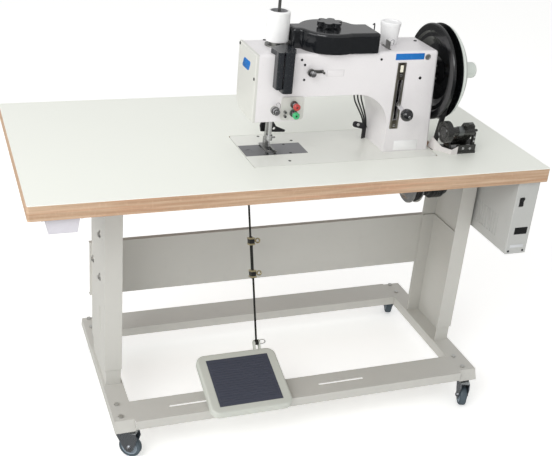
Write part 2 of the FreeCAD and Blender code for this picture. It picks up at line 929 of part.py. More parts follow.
def build_treadle():
    """Treadle casting on its pivot pin, with the ribbed mat and the bracket on the front beam."""
    pivot_z = d.foot_top + d.pedal_pivot_rise
    half = d.pedal_width / 2
    front = -d.pedal_front
    back = d.pedal_length - d.pedal_front
    low = d.pedal_lift
    top = low + d.pedal_thick
    rim = d.pedal_rim
    tilt = FreeCAD.Rotation(FreeCAD.Vector(1, 0, 0), number(d.pedal_tilt))
    plate = rounded(box(-half, half, front, back, low, top), d.pedal_corner, along("z"))
    plate = rounded(plate, d.pedal_soft, lambda middle, run, edge: middle.z > number(top) - 0.1)
    mat_half = d.mat_width / 2
    mat_front = (front + back) / 2 - d.mat_length / 2
    mat_low = top - d.mat_depth
    recess = box(-mat_half, mat_half, mat_front, mat_front + d.mat_length, mat_low, top + 1)
    roof = low + d.pedal_hollow
    under = rounded(box(-half + rim, half - rim, front + rim, back - rim, low - 1, roof),
                    d.pedal_corner - rim, along("z"))
    shell = cut(plate, recess, under)
    lug_x = half - d.lug_inset
    lug_half = d.ear_thick
    lugs = []
    for sign in (-1, 1):
        lugs.append(rod("x", d.ear_radius, sign * lug_x - lug_half, sign * lug_x + lug_half, 0, 0))
        lugs.append(box(sign * lug_x - lug_half, sign * lug_x + lug_half, -d.ear_radius, d.ear_radius,
                        0, roof + 1))
    ears = rod_ears(back, low, top)
    bore_half = half - rim
    bores = rod("x", d.pin_radius + d.running_gap, -bore_half, bore_half, 0, 0)
    frame = cut(fuse(shell, *lugs, *ears), bores)
    node("pedal_frame", place(frame, d.pedal_x, d.pedal_pivot_y, pivot_z, tilt))
    gap = d.seat_gap
    mat_top = top - gap
    mat_back = mat_front + d.mat_length
    mat = box(-mat_half + gap, mat_half - gap, mat_front + gap, mat_back - gap, mat_low, mat_top)
    edge = d.mat_border
    pitch = (d.mat_length - 2 * edge) / MAT_RIBS
    ribs = []
    for index in range(MAT_RIBS):
        rib_y = mat_front + edge + pitch * (index + 0.5)
        ribs.append(box(-mat_half + edge, mat_half - edge, rib_y - pitch / 4, rib_y + pitch / 4,
                        mat_top - 1, mat_top + d.mat_rib))
    node("pedal_mat", place(fuse(mat, *ribs), d.pedal_x, d.pedal_pivot_y, pivot_z, tilt))
    build_pedal_bracket(lug_x, pivot_z)


def rod_ears(back, low, top):
    """Two ears behind the treadle that carry the rod's lower eye on a cross pin."""
    middle = d.rod_x - d.pedal_x
    outside = d.rod_eye + d.ear_thick
    boss = d.cross_pin * 2
    root = back - boss
    ears = []
    for sign in (-1, 1):
        e0, e1 = sorted((middle + sign * (d.rod_eye + d.seat_gap), middle + sign * outside), key=number)
        shape = [(root, low + 2), (d.rod_reach + boss, d.rod_rise - boss),
                 (d.rod_reach + boss, d.rod_rise + boss),
                 (d.rod_reach - boss, d.rod_rise + boss), (root, top - 1)]
        ears.append(profile("yz", shape, e0, e1))
    ears.append(rod("x", d.cross_pin, middle - outside, middle + outside, d.rod_reach, d.rod_rise))
    return ears


def build_pedal_bracket(lug_x, pivot_z):
    """Base plate on the front beam with two stands and the pin that the treadle rocks on."""
    x = d.pedal_x
    y = d.pedal_pivot_y
    floor = d.foot_top
    base_half = lug_x + d.ear_thick * 3
    base_deep = d.pin_radius * 5.6
    base = box(x - base_half, x + base_half, y - base_deep, y + base_deep, floor, floor + d.sheet)
    pin = rod("x", d.pin_radius, x - base_half + 2, x + base_half - 2, y, pivot_z)
    root = base_deep * 0.58
    head = d.pin_radius + 2
    stands = []
    for sign in (-1, 1):
        inner = lug_x + d.ear_thick + 1
        s0, s1 = sorted((x + sign * inner, x + sign * (inner + d.ear_thick)), key=number)
        shape = [(y - root, floor + 1), (y + root, floor + 1), (y + head, pivot_z + head),
                 (y - head, pivot_z + head)]
        stands.append(profile("yz", shape, s0, s1))
    node("pedal_bracket", fuse(base, pin, *stands))


def build_rod():
    """Two overlapping rods held by clamps, leaning back to the speed control lever."""
    lean = FreeCAD.Rotation(FreeCAD.Vector(1, 0, 0), -number(d.rod_lean))
    tilt = d.pedal_tilt
    foot_y = d.pedal_pivot_y + d.rod_reach * cosine(tilt) - d.rod_rise * sine(tilt)
    foot_z = d.foot_top + d.pedal_pivot_rise + d.rod_reach * sine(tilt) + d.rod_rise * cosine(tilt)
    behind = d.rod_offset
    top_z = table_under - d.rod_drop
    length = (top_z - foot_z + behind * sine(d.rod_lean)) / cosine(d.rod_lean)
    eye = d.eye_radius
    half = d.rod_eye
    lower = cut(fuse(rod("x", eye, -half, half, 0, 0),
                     rod("z", d.rod_radius, eye - 2, d.lower_rod_top, 0, 0)),
                rod("x", d.cross_pin + d.running_gap, -half - 1, half + 1, 0, 0))
    upper = cut(fuse(rod("x", eye, -half, half, behind, length),
                     rod("z", d.rod_radius, d.upper_rod_bottom, length - eye + 2, 0, behind)),
                rod("x", d.lever_pin, -half - 1, half + 1, behind, length))
    pieces = [lower, upper]
    grip = d.clamp_size / 2
    for middle in (d.clamp_low, d.clamp_high):
        block = box(-grip, grip, -grip, behind + grip, middle - grip, middle + grip)
        bores = [rod("z", d.rod_radius + d.running_gap, middle - grip - 1, middle + grip + 1, 0, y)
                 for y in (0, behind)]
        pieces.append(cut(block, *bores))
    node("treadle_rod", place(group(*pieces), d.rod_x, foot_y, foot_z, lean))
    return foot_y + length * sine(d.rod_lean) + behind * cosine(d.rod_lean), top_z


def build_speed_control(rod_y, rod_z):
    """Sensor box under the table and the lever that the rod pulls."""
    left = d.speed_x - d.speed_width / 2
    right = d.speed_x + d.speed_width / 2
    back = d.speed_front + d.speed_depth
    ear = d.speed_ear
    ear_low = table_under - d.speed_ear_thick
    pivot_y = rod_y + d.lever_reach
    pivot_z = rod_z + d.lever_drop
    case = box(left, right, d.speed_front, back, table_under - d.speed_height, ear_low)
    ears = box(left - ear, right + ear, d.speed_front + ear, back - ear, ear_low, table_under)
    spindle = rod("x", d.lever_spindle, left - d.lever_thick * 2, left + d.lever_thick, pivot_y, pivot_z)
    node("speed_unit", fuse(rounded(case, d.lever_spindle, along("y")), ears, spindle))
    arm_right = left - d.seat_gap
    arm_left = arm_right - d.lever_thick
    hub = rod("x", d.lever_hub, arm_left, arm_right, pivot_y, pivot_z)
    end = rod("x", d.eye_radius, arm_left, arm_right, rod_y, rod_z)
    strap = profile("yz", [(rod_y, rod_z - d.eye_radius + 1), (pivot_y, pivot_z - d.lever_hub + 1),
                           (pivot_y, pivot_z + d.lever_hub - 1), (rod_y, rod_z + d.eye_radius - 1)],
                    arm_left, arm_right)
    pin = rod("x", d.lever_pin, arm_right - 1, d.rod_x - d.rod_eye - d.seat_gap, rod_y, rod_z)
    bore = rod("x", d.lever_spindle + d.running_gap, arm_left - 1, arm_right + 1, pivot_y, pivot_z)
    node("speed_lever", cut(fuse(hub, end, strap, pin), bore))


def groove(pitch, rim):
    """Half section of a belt groove: (offset along the shaft, radius) from left lip to right lip."""
    wall = d.belt_width / 2 + d.seat_gap
    floor = pitch - d.belt_thick / 2 - 3
    return [(-(wall + 4), rim), (-wall, floor), (wall, floor), (wall + 4, rim)]


def build_motor():
    """Servo motor hung under the table, its pulley and the belt to the handwheel."""
    left = d.motor_left
    right = left + d.motor_length
    y = d.motor_y
    z = motor_z
    radius = d.motor_radius
    bell = d.motor_bell
    can = rod("x", radius, left + bell, right - bell, y, z)
    ends = rod("x", radius - d.motor_step, left, right, y, z)
    pitch = (d.motor_length - 2 * bell) / MOTOR_FINS
    fins = []
    for index in range(MOTOR_FINS):
        fin_x = left + bell + pitch * (index + 0.25)
        fins.append(rod("x", radius + d.motor_fin, fin_x, fin_x + pitch / 2, y, z))
    plate_low = table_under - d.hanger_plate
    hanger = box(left + bell, right - bell, y - d.hanger_half, y + d.hanger_half,
                 z + radius - bell, plate_low)
    top = box(left, right, y - d.hanger_reach, y + d.hanger_reach, plate_low, table_under)
    seat = left + d.motor_seat
    bore = rod("x", d.motor_shaft + d.running_gap, left - 1, seat + 2, y, z)
    node("motor", cut(fuse(can, ends, *fins, hanger, top), bore))
    half = d.pulley_width / 2
    x = d.belt_x
    rim = d.pulley_radius
    lips = [(x + run, reach) for run, reach in groove(d.motor_pitch, rim)]
    soft = d.motor_fin
    hub = d.motor_shaft * 2.5
    dish = x - half + d.motor_step
    section = [(x - half, 0), (seat, 0), (seat, d.motor_shaft), (x + half, d.motor_shaft),
               (x + half, rim - soft), (x + half - soft, rim), *reversed(lips), (x - half + soft, rim),
               (x - half, rim - soft), (x - half, rim - bell), (dish, rim - bell - soft),
               (dish, hub + soft), (x - half, hub)]
    node("motor_pulley", turned("x", section, y, z))
    build_belt()


def build_belt():
    """V-belt: two arcs and two tangent runs round the grooves of the handwheel and the motor pulley."""
    big = number(d.wheel_pitch)
    small = number(d.motor_pitch)
    wheel = (number(d.drive_y), number(shaft_z))
    motor = (number(d.motor_y), number(motor_z))
    across = math.atan2(motor[1] - wheel[1], motor[0] - wheel[0])
    spread = math.acos((big - small) / math.dist(wheel, motor))

    def loop(offset, x):
        def at(middle, radius, angle):
            return FreeCAD.Vector(x, middle[0] + radius * math.cos(angle),
                                  middle[1] + radius * math.sin(angle))

        first = across + spread
        last = across - spread
        r_big = big + offset
        r_small = small + offset
        edges = [
            Part.Arc(at(wheel, r_big, first), at(wheel, r_big, across + math.pi), at(wheel, r_big, last)),
            Part.LineSegment(at(wheel, r_big, last), at(motor, r_small, last)),
            Part.Arc(at(motor, r_small, last), at(motor, r_small, across), at(motor, r_small, first)),
            Part.LineSegment(at(motor, r_small, first), at(wheel, r_big, first)),
        ]
        return Part.Wire([edge.toShape() for edge in edges])

    width = number(d.belt_width)
    half = number(d.belt_thick) / 2
    x = number(d.belt_x)
    outer = Part.Face(loop(half, x - width / 2)).extrude(FreeCAD.Vector(width, 0, 0))
    inner = Part.Face(loop(-half, x - width)).extrude(FreeCAD.Vector(2 * width, 0, 0))
    belt = doc.addObject("Part::Feature", "belt")
    belt.Shape = outer.cut(inner)
    node("drive_belt", belt)


def build_control():
    """Control box beside the right leg, with its rocker switch."""
    right = d.table_length / 2 - d.control_inset
    left = right - d.control_width
    front = d.control_front
    low = table_under - d.control_height
    case = rounded(box(left, right, front, front + d.control_depth, low, table_under), d.control_round,
                   lambda middle, run, edge: along("y")(middle, run, edge) or along("z")(middle, run, edge))
    half = d.switch_width / 2
    tall = d.switch_height / 2
    switch_x = left + d.switch_inset
    z = table_under - d.switch_drop
    pit = box(switch_x - half, switch_x + half, front - 1, front + d.switch_pit, z - tall, z + tall)
    screen_low = low + d.screen_rise
    screen = box(left + d.screen_left, right - d.screen_right, front - 1, front + d.screen_deep,
                 screen_low, screen_low + d.screen_height)
    vents = []
    for index in range(VENTS):
        vent_y = front + d.vent_front + d.vent_pitch * index
        vents.append(box(left - 1, left + d.vent_deep, vent_y, vent_y + d.vent_width,
                         low + d.vent_low, low + d.vent_high))
    node("control_box", cut(case, pit, screen, *vents))
    x0 = switch_x - half + d.seat_gap
    x1 = switch_x + half - d.seat_gap
    barrel_y = front + d.switch_axis
    reach = tall - d.switch_play
    shape = [(barrel_y, z - d.switch_barrel), (front + 2, z - reach), (front - 0.5, z - reach),
             (front + 1.2, z),
             (front - 3.6, z + reach), (front - 0.5, z + reach), (barrel_y, z + d.switch_barrel)]
    barrel = rod("x", d.switch_barrel, x0, x1, barrel_y, z)
    node("power_switch", fuse(profile("yz", shape, x0, x1), barrel))


def build_bed():
    """Bed casting let into the table, with the needle plate, the bobbin cover and the feed dog."""
    top = d.table_height
    plate = rounded(box(d.bed_left, bed_right, bed_front, bed_back, bed_under, top), d.bed_corner, along("z"))
    gap = d.bed_ledge + 4
    s = (d.bed_left + gap, bed_right - gap, bed_front + gap, bed_back - gap)
    low = bed_under - d.skirt_drop
    wall = d.skirt_wall
    skirt = cut(box(*s, low, bed_under + 1),
                box(s[0] + wall, s[1] - wall, s[2] + wall, s[3] - wall, low - 1, bed_under))
    ribs = [box(x, x + d.rib_thick, s[2] + 1, s[3] - 1, hook_z - d.rib_drop, bed_under + 1)
            for x in (d.rib_left, d.rib_right)]
    half = d.plate_depth / 2
    y = d.drive_y
    edge = d.bed_left + 2
    recess = box(edge, d.plate_right, y - half, y + half, top - d.plate_thick, top + 1)
    well_half = half - d.hook_wall - 1
    well = box(s[0] + wall + 1, d.well_right, y - well_half, y + well_half, low - 1, top)
    shaft_bore = rod("x", d.hook_bush, d.rib_left - 1, d.rib_right + d.rib_thick + 1, y, hook_z)
    upright_hole = rod("z", d.upright_radius + d.running_gap, bed_under - 1, top + 1, d.upright_x, y)
    reach = d.guide_pcd / 2
    guide_holes = [rod("z", d.guide_hole, bed_under - 1, top + 1,
                       d.guide_x + sign * reach * cosine(d.guide_turn),
                       d.guide_y + sign * reach * sine(d.guide_turn)) for sign in (-1, 1)]
    bed = cut(fuse(plate, skirt, *ribs), recess, well, shaft_bore, upright_hole, *guide_holes)
    node("machine_bed", bed)
    fit = d.seat_gap
    low_face = top - d.plate_thick
    y0 = y - half + fit
    y1 = y + half - fit
    x = d.needle_x
    slot_half = d.needle_bar * 1.4
    needle_plate = box(d.plate_split, d.plate_right - fit, y0, y1, low_face, top)
    needle_slot = box(x - slot_half, x + slot_half, y - 2, y + 2, low_face - 1, top + 1)
    feed_slots = [box(x + sign * d.feed_gauge - d.feed_slot, x + sign * d.feed_gauge + d.feed_slot,
                      y - d.feed_slot_half, y + d.feed_slot_half, low_face - 1, top + 1) for sign in (-1, 1)]
    node("needle_plate", cut(needle_plate, needle_slot, *feed_slots))
    cover = box(edge + fit, d.plate_split - fit, y0, y1, low_face, top)
    finger = rod("z", d.finger_radius, top - 1, top + 1, edge + d.finger_inset, y)
    node("bobbin_cover", cut(cover, finger))
    build_feed_dog(low_face)


def build_feed_dog(low_face):
    """Two toothed bars on a carrier that work in the needle plate's slots."""
    x = d.needle_x
    y = d.drive_y
    top = d.table_height
    half = d.feed_half
    width = d.feed_slot - 0.4
    pitch = 2 * half / FEED_TEETH
    bars = []
    for sign in (-1, 1):
        bar_x = x + sign * d.feed_gauge
        bars.append(box(bar_x - width, bar_x + width, y - half, y + half, low_face - d.feed_deep, top - 0.8))
        for index in range(FEED_TEETH):
            tooth_y = y - half + pitch * index
            tip_y = tooth_y + pitch * 0.8
            bars.append(profile("yz", [(tooth_y, top - 1), (tip_y, top - 1), (tip_y, top + d.feed_rise)],
                                bar_x - width, bar_x + width))
    span = d.feed_gauge + width
    carrier = box(x - span, x + span, y - half, y - half + d.feed_deep,
                  low_face - d.feed_deep - 4, low_face - d.feed_deep + 2)
    node("feed_dog", fuse(carrier, *bars))


def build_arm():
    """Arm casting: head, arm, arch and column, hollow inside; and the face plate on its left end."""
    left = cast_left
    shape = [(left, head_bottom), (d.head_right, head_bottom), (d.head_right, arm_under),
             (d.column_left, arm_under), (d.column_left, d.table_height),
             (d.column_base_right, d.table_height), (d.column_top_right, arm_top), (left, arm_top)]
    casting = profile("xz", shape, arm_front, arm_back)

    def arch_edge(middle, run, edge):
        return (along("y")(middle, run, edge) and abs(middle.x - number(d.column_left)) < 0.1
                and abs(middle.z - number(arm_under)) < 0.1)

    def head_back_edge(middle, run, edge):
        return (along("x")(middle, run, edge) and abs(middle.y - number(arm_back)) < 0.1
                and abs(middle.z - number(head_bottom)) < 0.1)

    def top_edge(middle, run, edge):
        level = abs(middle.z - number(arm_top)) < 0.1
        return level and not (abs(run.x) < 0.1 and middle.x < number(left) + 1)

    def column_edge(middle, run, edge):
        return middle.x > number(d.column_top_right) - 1 and abs(run.z) > 100

    def waist_edge(middle, run, edge):
        return along("y")(middle, run, edge) and abs(middle.x - number(d.head_right)) < 0.1

    casting = rounded(casting, d.arch_radius, arch_edge)
    casting = rounded(casting, d.head_back_round, head_back_edge)
    casting = rounded(casting, d.waist_round, waist_edge)
    casting = rounded(casting, d.cast_round, lambda *e: top_edge(*e) or column_edge(*e))
    wall = d.cast_wall
    rib_back = rib_face + d.arm_rib
    y0 = arm_front + wall
    y1 = arm_back - wall
    head_room = cut(box(left - 1, rib_face, y0, y1, head_bottom + wall, arm_top - wall),
                    box(left - 2, rib_face + 1, arm_back - d.head_back_round, arm_back,
                        head_bottom, head_bottom + d.head_back_round))
    column_room = [(rib_back, arm_under + wall), (d.column_left + wall, arm_under + wall),
                   (d.column_left + wall, d.table_height - 1),
                   (d.column_base_right - wall, d.table_height - 1),
                   (d.column_top_right - wall - 2, arm_top - wall), (rib_back, arm_top - wall)]
    x = d.needle_x
    y = d.drive_y
    low = head_bottom - 1
    high = head_bottom + wall + 1
    front = (arm_front - 1, arm_front + wall + 1)
    openings = [
        box(x - d.needle_slot, x + d.needle_slot, y - d.needle_slot_half, y + d.needle_slot_half, low, high),
        rod("z", d.needle_bar + d.running_gap, low, high + d.head_back_round, x, presser_y),
        box(d.take_up_x - d.take_slot_half, d.take_up_x + d.take_slot_half, *front,
            d.table_height + d.take_slot_low, d.table_height + d.take_slot_high),
        box(d.scale_x - d.scale_slot_half, d.scale_x + d.scale_slot_half, *front,
            scale_low + d.scale_slot_low, scale_high - d.scale_slot_high),
        rod("x", d.left_bush, rib_face - 1, rib_back + 1, y, shaft_z),
        rod("x", d.right_bush, d.column_top_right - wall - 4, d.column_base_right + 1, y, shaft_z),
        rod("z", d.cam_boss, arm_top - wall - 1, arm_top + 1, d.cover_x, y),
    ]
    casting = cut(casting, head_room, profile("xz", column_room, y0, y1), *openings)
    lug_front = presser_y + d.needle_bar * 2
    lug_half = d.lifter_pin * 3
    lug = box(x - lug_half, x + lug_half, lug_front, lug_front + wall,
              lifter_z - lug_half, head_bottom + wall)
    stud = rod("y", d.lifter_pin, lug_front - d.lifter_thick - d.seat_gap, lug_front + 1, x, lifter_z)
    node("arm_casting", fuse(casting, lug, stud))
    face = profile("yz", [(arm_front, head_bottom), (arm_back, head_bottom), (arm_back, arm_top),
                          (arm_front, arm_top)], left - d.face_thick, left)

    def corner(middle, run, edge):
        return along("x")(middle, run, edge) and middle.y > number(y) and middle.z < number(head_bottom) + 1

    def outer_ring(middle, run, edge):
        return abs(middle.x - number(left - d.face_thick)) < 0.01

    face = rounded(rounded(face, d.head_back_round, corner), d.face_round, outer_ring)
    node("face_plate", face)


def build_drive():
    """Main shaft, upright shaft and hook shaft with their bevel pairs."""
    y = d.drive_y
    z = shaft_z
    reach = d.bevel_radius
    gap = d.seat_gap
    x = d.upright_x
    disc_right = rib_face - gap
    disc_left = disc_right - d.crank_disc
    shaft = rod("x", d.shaft_radius, disc_left, d.shaft_right, y, z)
    disc = rod("x", d.crank_radius, disc_left, disc_right, y, z)
    throw = d.crank_throw
    pin_left = d.needle_x + d.link_reach + d.crank_gap
    pin = rod("x", d.crank_pin, pin_left, disc_left + 1,
              y + throw * sine(d.crank_turn), z - throw * cosine(d.crank_turn))
    bevel = cone("x", reach - d.bevel_face, reach, x + reach - d.bevel_face + gap, x + reach + gap, y, z)
    node("main_shaft", fuse(shaft, disc, pin, bevel))
    bevel_top = z - reach + d.bevel_face - gap
    small = reach / 2
    lower_low = hook_z + small + gap
    upright = rod("z", d.upright_radius, lower_low, bevel_top, x, y)
    upper_bevel = cone("z", reach, reach - d.bevel_face, bevel_top - d.bevel_face, bevel_top, x, y)
    lower_bevel = cone("z", reach - d.bevel_face, reach, lower_low - d.bevel_face / 2, lower_low, x, y)
    collar = rod("z", small, d.table_height + gap, d.table_height + d.crank_disc, x, y)
    node("upright_shaft", fuse(upright, upper_bevel, lower_bevel, collar))
    shaft_end = x - reach - gap
    hook_bevel = cone("x", small, small - d.bevel_face / 2, shaft_end - d.bevel_face, shaft_end, y, hook_z)
    build_hook(hook_bevel, shaft_end)
    build_bushes()


def build_hook(hook_bevel, shaft_end):
    """Hook shaft with its open cup and beak, and the bobbin case with the bobbin inside the cup."""
    y = d.drive_y
    gap = d.seat_gap
    wall = d.hook_wall
    face = d.hook_face
    left = face - d.hook_length
    r = d.hook_radius
    bore = d.hook_shaft
    shaft = rod("x", bore, face - wall - 1, shaft_end - 2, y, hook_z)
    cup = turned("x", [(left, r - 4), (left + 4, r), (face, r), (face, bore), (face - wall, bore),
                       (face - wall, r - wall), (left, r - wall)], y, hook_z)
    beak = profile("yz", [(y + 4, hook_z + r - 2), (y - 18, hook_z + r - 4), (y - 6, hook_z + r + 2),
                          (y + 6, hook_z + r + 1)], face - bore, face)
    node("hook_shaft", fuse(shaft, hook_bevel, cup, beak))
    case_r = r - wall - gap
    case_right = face - wall - 1 - gap
    bobbin_case = cut(rod("x", case_r, left - 3, case_right, y, hook_z),
                      rod("x", case_r - 2, left + 3, case_right - 3, y, hook_z))
    bobbin = cut(rod("x", case_r - 3, left + 4, case_right - 4, y, hook_z),
                 rod("x", 4, left + 3, case_right - 3, y, hook_z))
    node("bobbin_case", group(bobbin_case, bobbin))


def build_bushes():
    """Bronze bushes of the shafts, and the fixed pins that the levers and the cam turn on."""
    y = d.drive_y
    z = shaft_z
    gap = d.seat_gap

    def bush(outside, inside, start, end, level):
        return cut(rod("x", outside, start, end, y, level),
                   rod("x", inside + d.running_gap, start - 1, end + 1, y, level))

    wall = d.cast_wall
    left_bush = bush(d.left_bush, d.shaft_radius, rib_face, rib_face + d.arm_rib, z)
    right_bush = bush(d.right_bush, d.shaft_radius, d.column_top_right - wall - 4, d.column_base_right - 3, z)
    hook_bushes = [bush(d.hook_bush, d.hook_shaft, rib, rib + d.rib_thick, hook_z)
                   for rib in (d.rib_left, d.rib_right)]
    swing_pin = rod("y", d.swing_pin, arm_front + wall, arm_back - wall, d.needle_x, swing_z)
    take_pin = rod("x", d.crank_pin, d.take_up_x - 3 * d.take_up_half, rib_face,
                   arm_front + d.take_up_pivot, z)
    stitch_pin = rod("x", d.stitch_pin, d.column_left + wall, d.scale_x + 2 * d.stitch_half,
                     arm_front + d.stitch_pivot, stitch_z)
    cam_low = arm_top + d.cam_rise
    stud_top = arm_top + d.cover_height + gap + d.knob_bore - 1
    cam_post = fuse(rod("z", d.cam_boss, arm_top - wall, cam_low - gap, d.cover_x, y),
                    rod("z", d.cam_hub, cam_low - 1, cam_low + d.cam_thick + 1, d.cover_x, y),
                    rod("z", d.stud_radius, cam_low, stud_top, d.cover_x, y))
    node("shaft_bushes", group(left_bush, right_bush, *hook_bushes,
                               swing_pin, take_pin, stitch_pin, cam_post))


def build_handwheel():
    """Black dished pulley wheel and the pale domed disc with its hub cap."""
    y = d.drive_y
    z = shaft_z
    rim = d.rim_radius
    left = d.rim_left
    right = d.rim_right
    bore = d.shaft_radius + d.running_gap
    lips = [(d.belt_x + run, radius) for run, radius in groove(d.wheel_pitch, rim)]
    soft = 3
    section = [(left + 12, bore), (right, bore), (right, rim - soft), (right - soft, rim), *reversed(lips),
               (left + soft, rim), (left, rim - soft), (left, rim - 20), (left + 5, rim - 25),
               (left + 5, rim - 36), (left + 11, rim - 44), (right - 12, rim - 54), (right - 10, 42),
               (left + 12, 30)]
    node("drive_wheel", turned("x", section, y, z))
    face = right + d.seat_gap
    crown = face + d.disc_band
    sphere_radius = (d.disc_radius * d.disc_radius + d.disc_bulge * d.disc_bulge) / (d.disc_bulge * 2)
    middle = crown + d.disc_bulge - sphere_radius
    band = rod("x", d.disc_radius, face, crown + d.disc_bulge, y, z)
    dome = cut(common(band, ball(sphere_radius, middle, y, z)),
               ball(sphere_radius - d.disc_wall, middle, y, z))
    lip = cut(rod("x", d.disc_radius, face, crown, y, z),
              rod("x", d.disc_radius - d.disc_wall * 2, face - 1, crown + 1, y, z))
    hub = rounded(rod("x", d.hub_cap_radius, face, d.hub_cap_end, y, z), d.hub_cap_round,
                  lambda m, run, edge: m.x > number(d.hub_cap_end) - 1)
    shaft_hole = rod("x", bore, face - 1, d.shaft_right + d.seat_gap, y, z)
    node("handwheel", cut(fuse(dome, lip, hub), shaft_hole))


def build_needle():
    """Swinging needle bar frame with its lower bush, and the needle bar with clamp, needle and link."""
    x = d.needle_x
    y = d.drive_y
    run = d.running_gap
    r = d.needle_bar
    half = r + 4
    low = head_bottom + d.cast_wall + 4
    pivot = swing_z
    spine = box(x - half - 8, x - half - 1, y - half, y + half, low, pivot + 4)
    foot = box(x - half - 3, x + half, y - half, y + half, low, low + 12)
    bush = rod("z", d.bar_bush, head_bottom - d.bar_bush_drop, low + 1, x, y)
    top = box(x - half - 3, x + half + 1, y - half, y + half, bar_guide_low, pivot + 8)
    frame = cut(fuse(spine, foot, bush, top),
                rod("z", r + run, head_bottom - d.bar_bush_drop - 1, pivot - 6, x, y),
                rod("y", d.swing_pin + run, y - half - 1, y + half + 1, x, pivot))
    node("needle_bar_frame", frame)
    collar_z = collar_level
    bar = rod("z", r, bar_foot, bar_top, x, y)
    clamp = rod("z", r + 3, bar_foot, bar_foot + 14, x, y)
    clamp_screw = rod("x", r / 2, x, x + 16, y, bar_foot + 7)
    collar = rod("z", half, collar_z - 8, collar_z + 8, x, y)
    link_right = x + d.link_reach
    link_left = link_right - d.link_thick
    stud = rod("x", d.crank_pin, x + 4, link_right, y, collar_z)
    shank = needle_tip + 14
    needle = fuse(rod("z", 1.6, shank, bar_foot + 1, x, y),
                  cone("z", 0.5, 1.2, needle_tip, shank + 0.5, x, y))
    big_y = y + d.crank_throw * sine(d.crank_turn)
    big_z = shaft_z - d.crank_throw * cosine(d.crank_turn)
    strap_half = 6
    strap = profile("yz", [(y - strap_half, collar_z), (y + strap_half, collar_z - 2),
                           (big_y + strap_half, big_z - 2), (big_y - strap_half, big_z)],
                    link_left, link_right)
    link = fuse(rod("x", half, link_left, link_right, y, collar_z),
                rod("x", half, link_left, link_right, big_y, big_z), strap)
    node("needle_bar", fuse(bar, clamp, clamp_screw, collar, stud, needle, link))
    build_take_up()
    build_presser()


def build_take_up():
    """Thread take-up lever that swings in the front slot of the head."""
    half = d.take_up_half
    x0 = d.take_up_x - half
    x1 = d.take_up_x + half
    y = arm_front + d.take_up_pivot
    z = shaft_z
    end_y = y - d.take_up_reach
    end_z = z + d.take_up_lift
    hub = rod("x", 9, x0, x1, y, z)
    arm = profile("yz", [(y - 5, z - 5), (y + 5, z + 6), (end_y + 3, end_z + 4), (end_y - 3, end_z - 4)],
                  x0, x1)
    eye = rod("x", 5, x0, x1, end_y, end_z)
    node("take_up_lever", cut(fuse(hub, arm, eye),
                              rod("x", d.crank_pin + d.running_gap, x0 - 1, x1 + 1, y, z),
                              rod("x", 1.8, x0 - 1, x1 + 1, end_y, end_z)))


def build_presser():
    """Presser bar with its two-toed foot, and the hand lifter behind it."""
    x = d.needle_x
    y = presser_y
    sole = d.table_height + d.sole_rise
    holder_top = sole + d.holder_high
    bar = rod("z", d.needle_bar, sole + d.holder_low + 1, swing_z - 22, x, y)
    holder = rod("z", d.holder_radius, sole + d.holder_low, holder_top, x, y)
    half = d.foot_width_sole / 2
    front = d.drive_y - d.foot_length_sole / 2 + 4
    back = d.drive_y + d.foot_length_sole / 2 + 4
    plate = profile("yz", [(front, sole + 7), (front + 10, sole), (back, sole), (back, sole + 4),
                           (front + 14, sole + 4), (front + 3, sole + 9)], x - half, x + half)
    gap_slot = box(x - d.holder_radius, x + d.holder_radius, front - 1, d.drive_y + 12, sole - 1, sole + 12)
    neck = box(x - 6, x + 6, d.drive_y + 14, y + 6, sole + 2, sole + d.holder_low + 4)
    screw = rod("x", 3, x + 6, x + 18, y, (sole + d.holder_low + holder_top) / 2)
    node("presser_bar", fuse(bar, holder, cut(plate, gap_slot), neck, screw))
    z = lifter_z
    back_face = y + d.needle_bar * 2 - d.seat_gap
    front_face = back_face - d.lifter_thick
    shape = [(x - 9, z + 7), (x - 17, z - 22), (x - 14, z - 38), (x + 8, z - 40), (x + 29, z - 42),
             (x + 55, z - 43), (x + 57, z - 38), (x + 30, z - 26), (x + 9, z + 7)]
    wing = profile("xz", shape, front_face, back_face)
    through = (front_face - 1, back_face + 1)
    node("lifter_lever", cut(wing, rod("y", d.lifter_pin + d.running_gap, *through, x, z),
                             rod("y", 4, *through, x + 24, z - 32)))


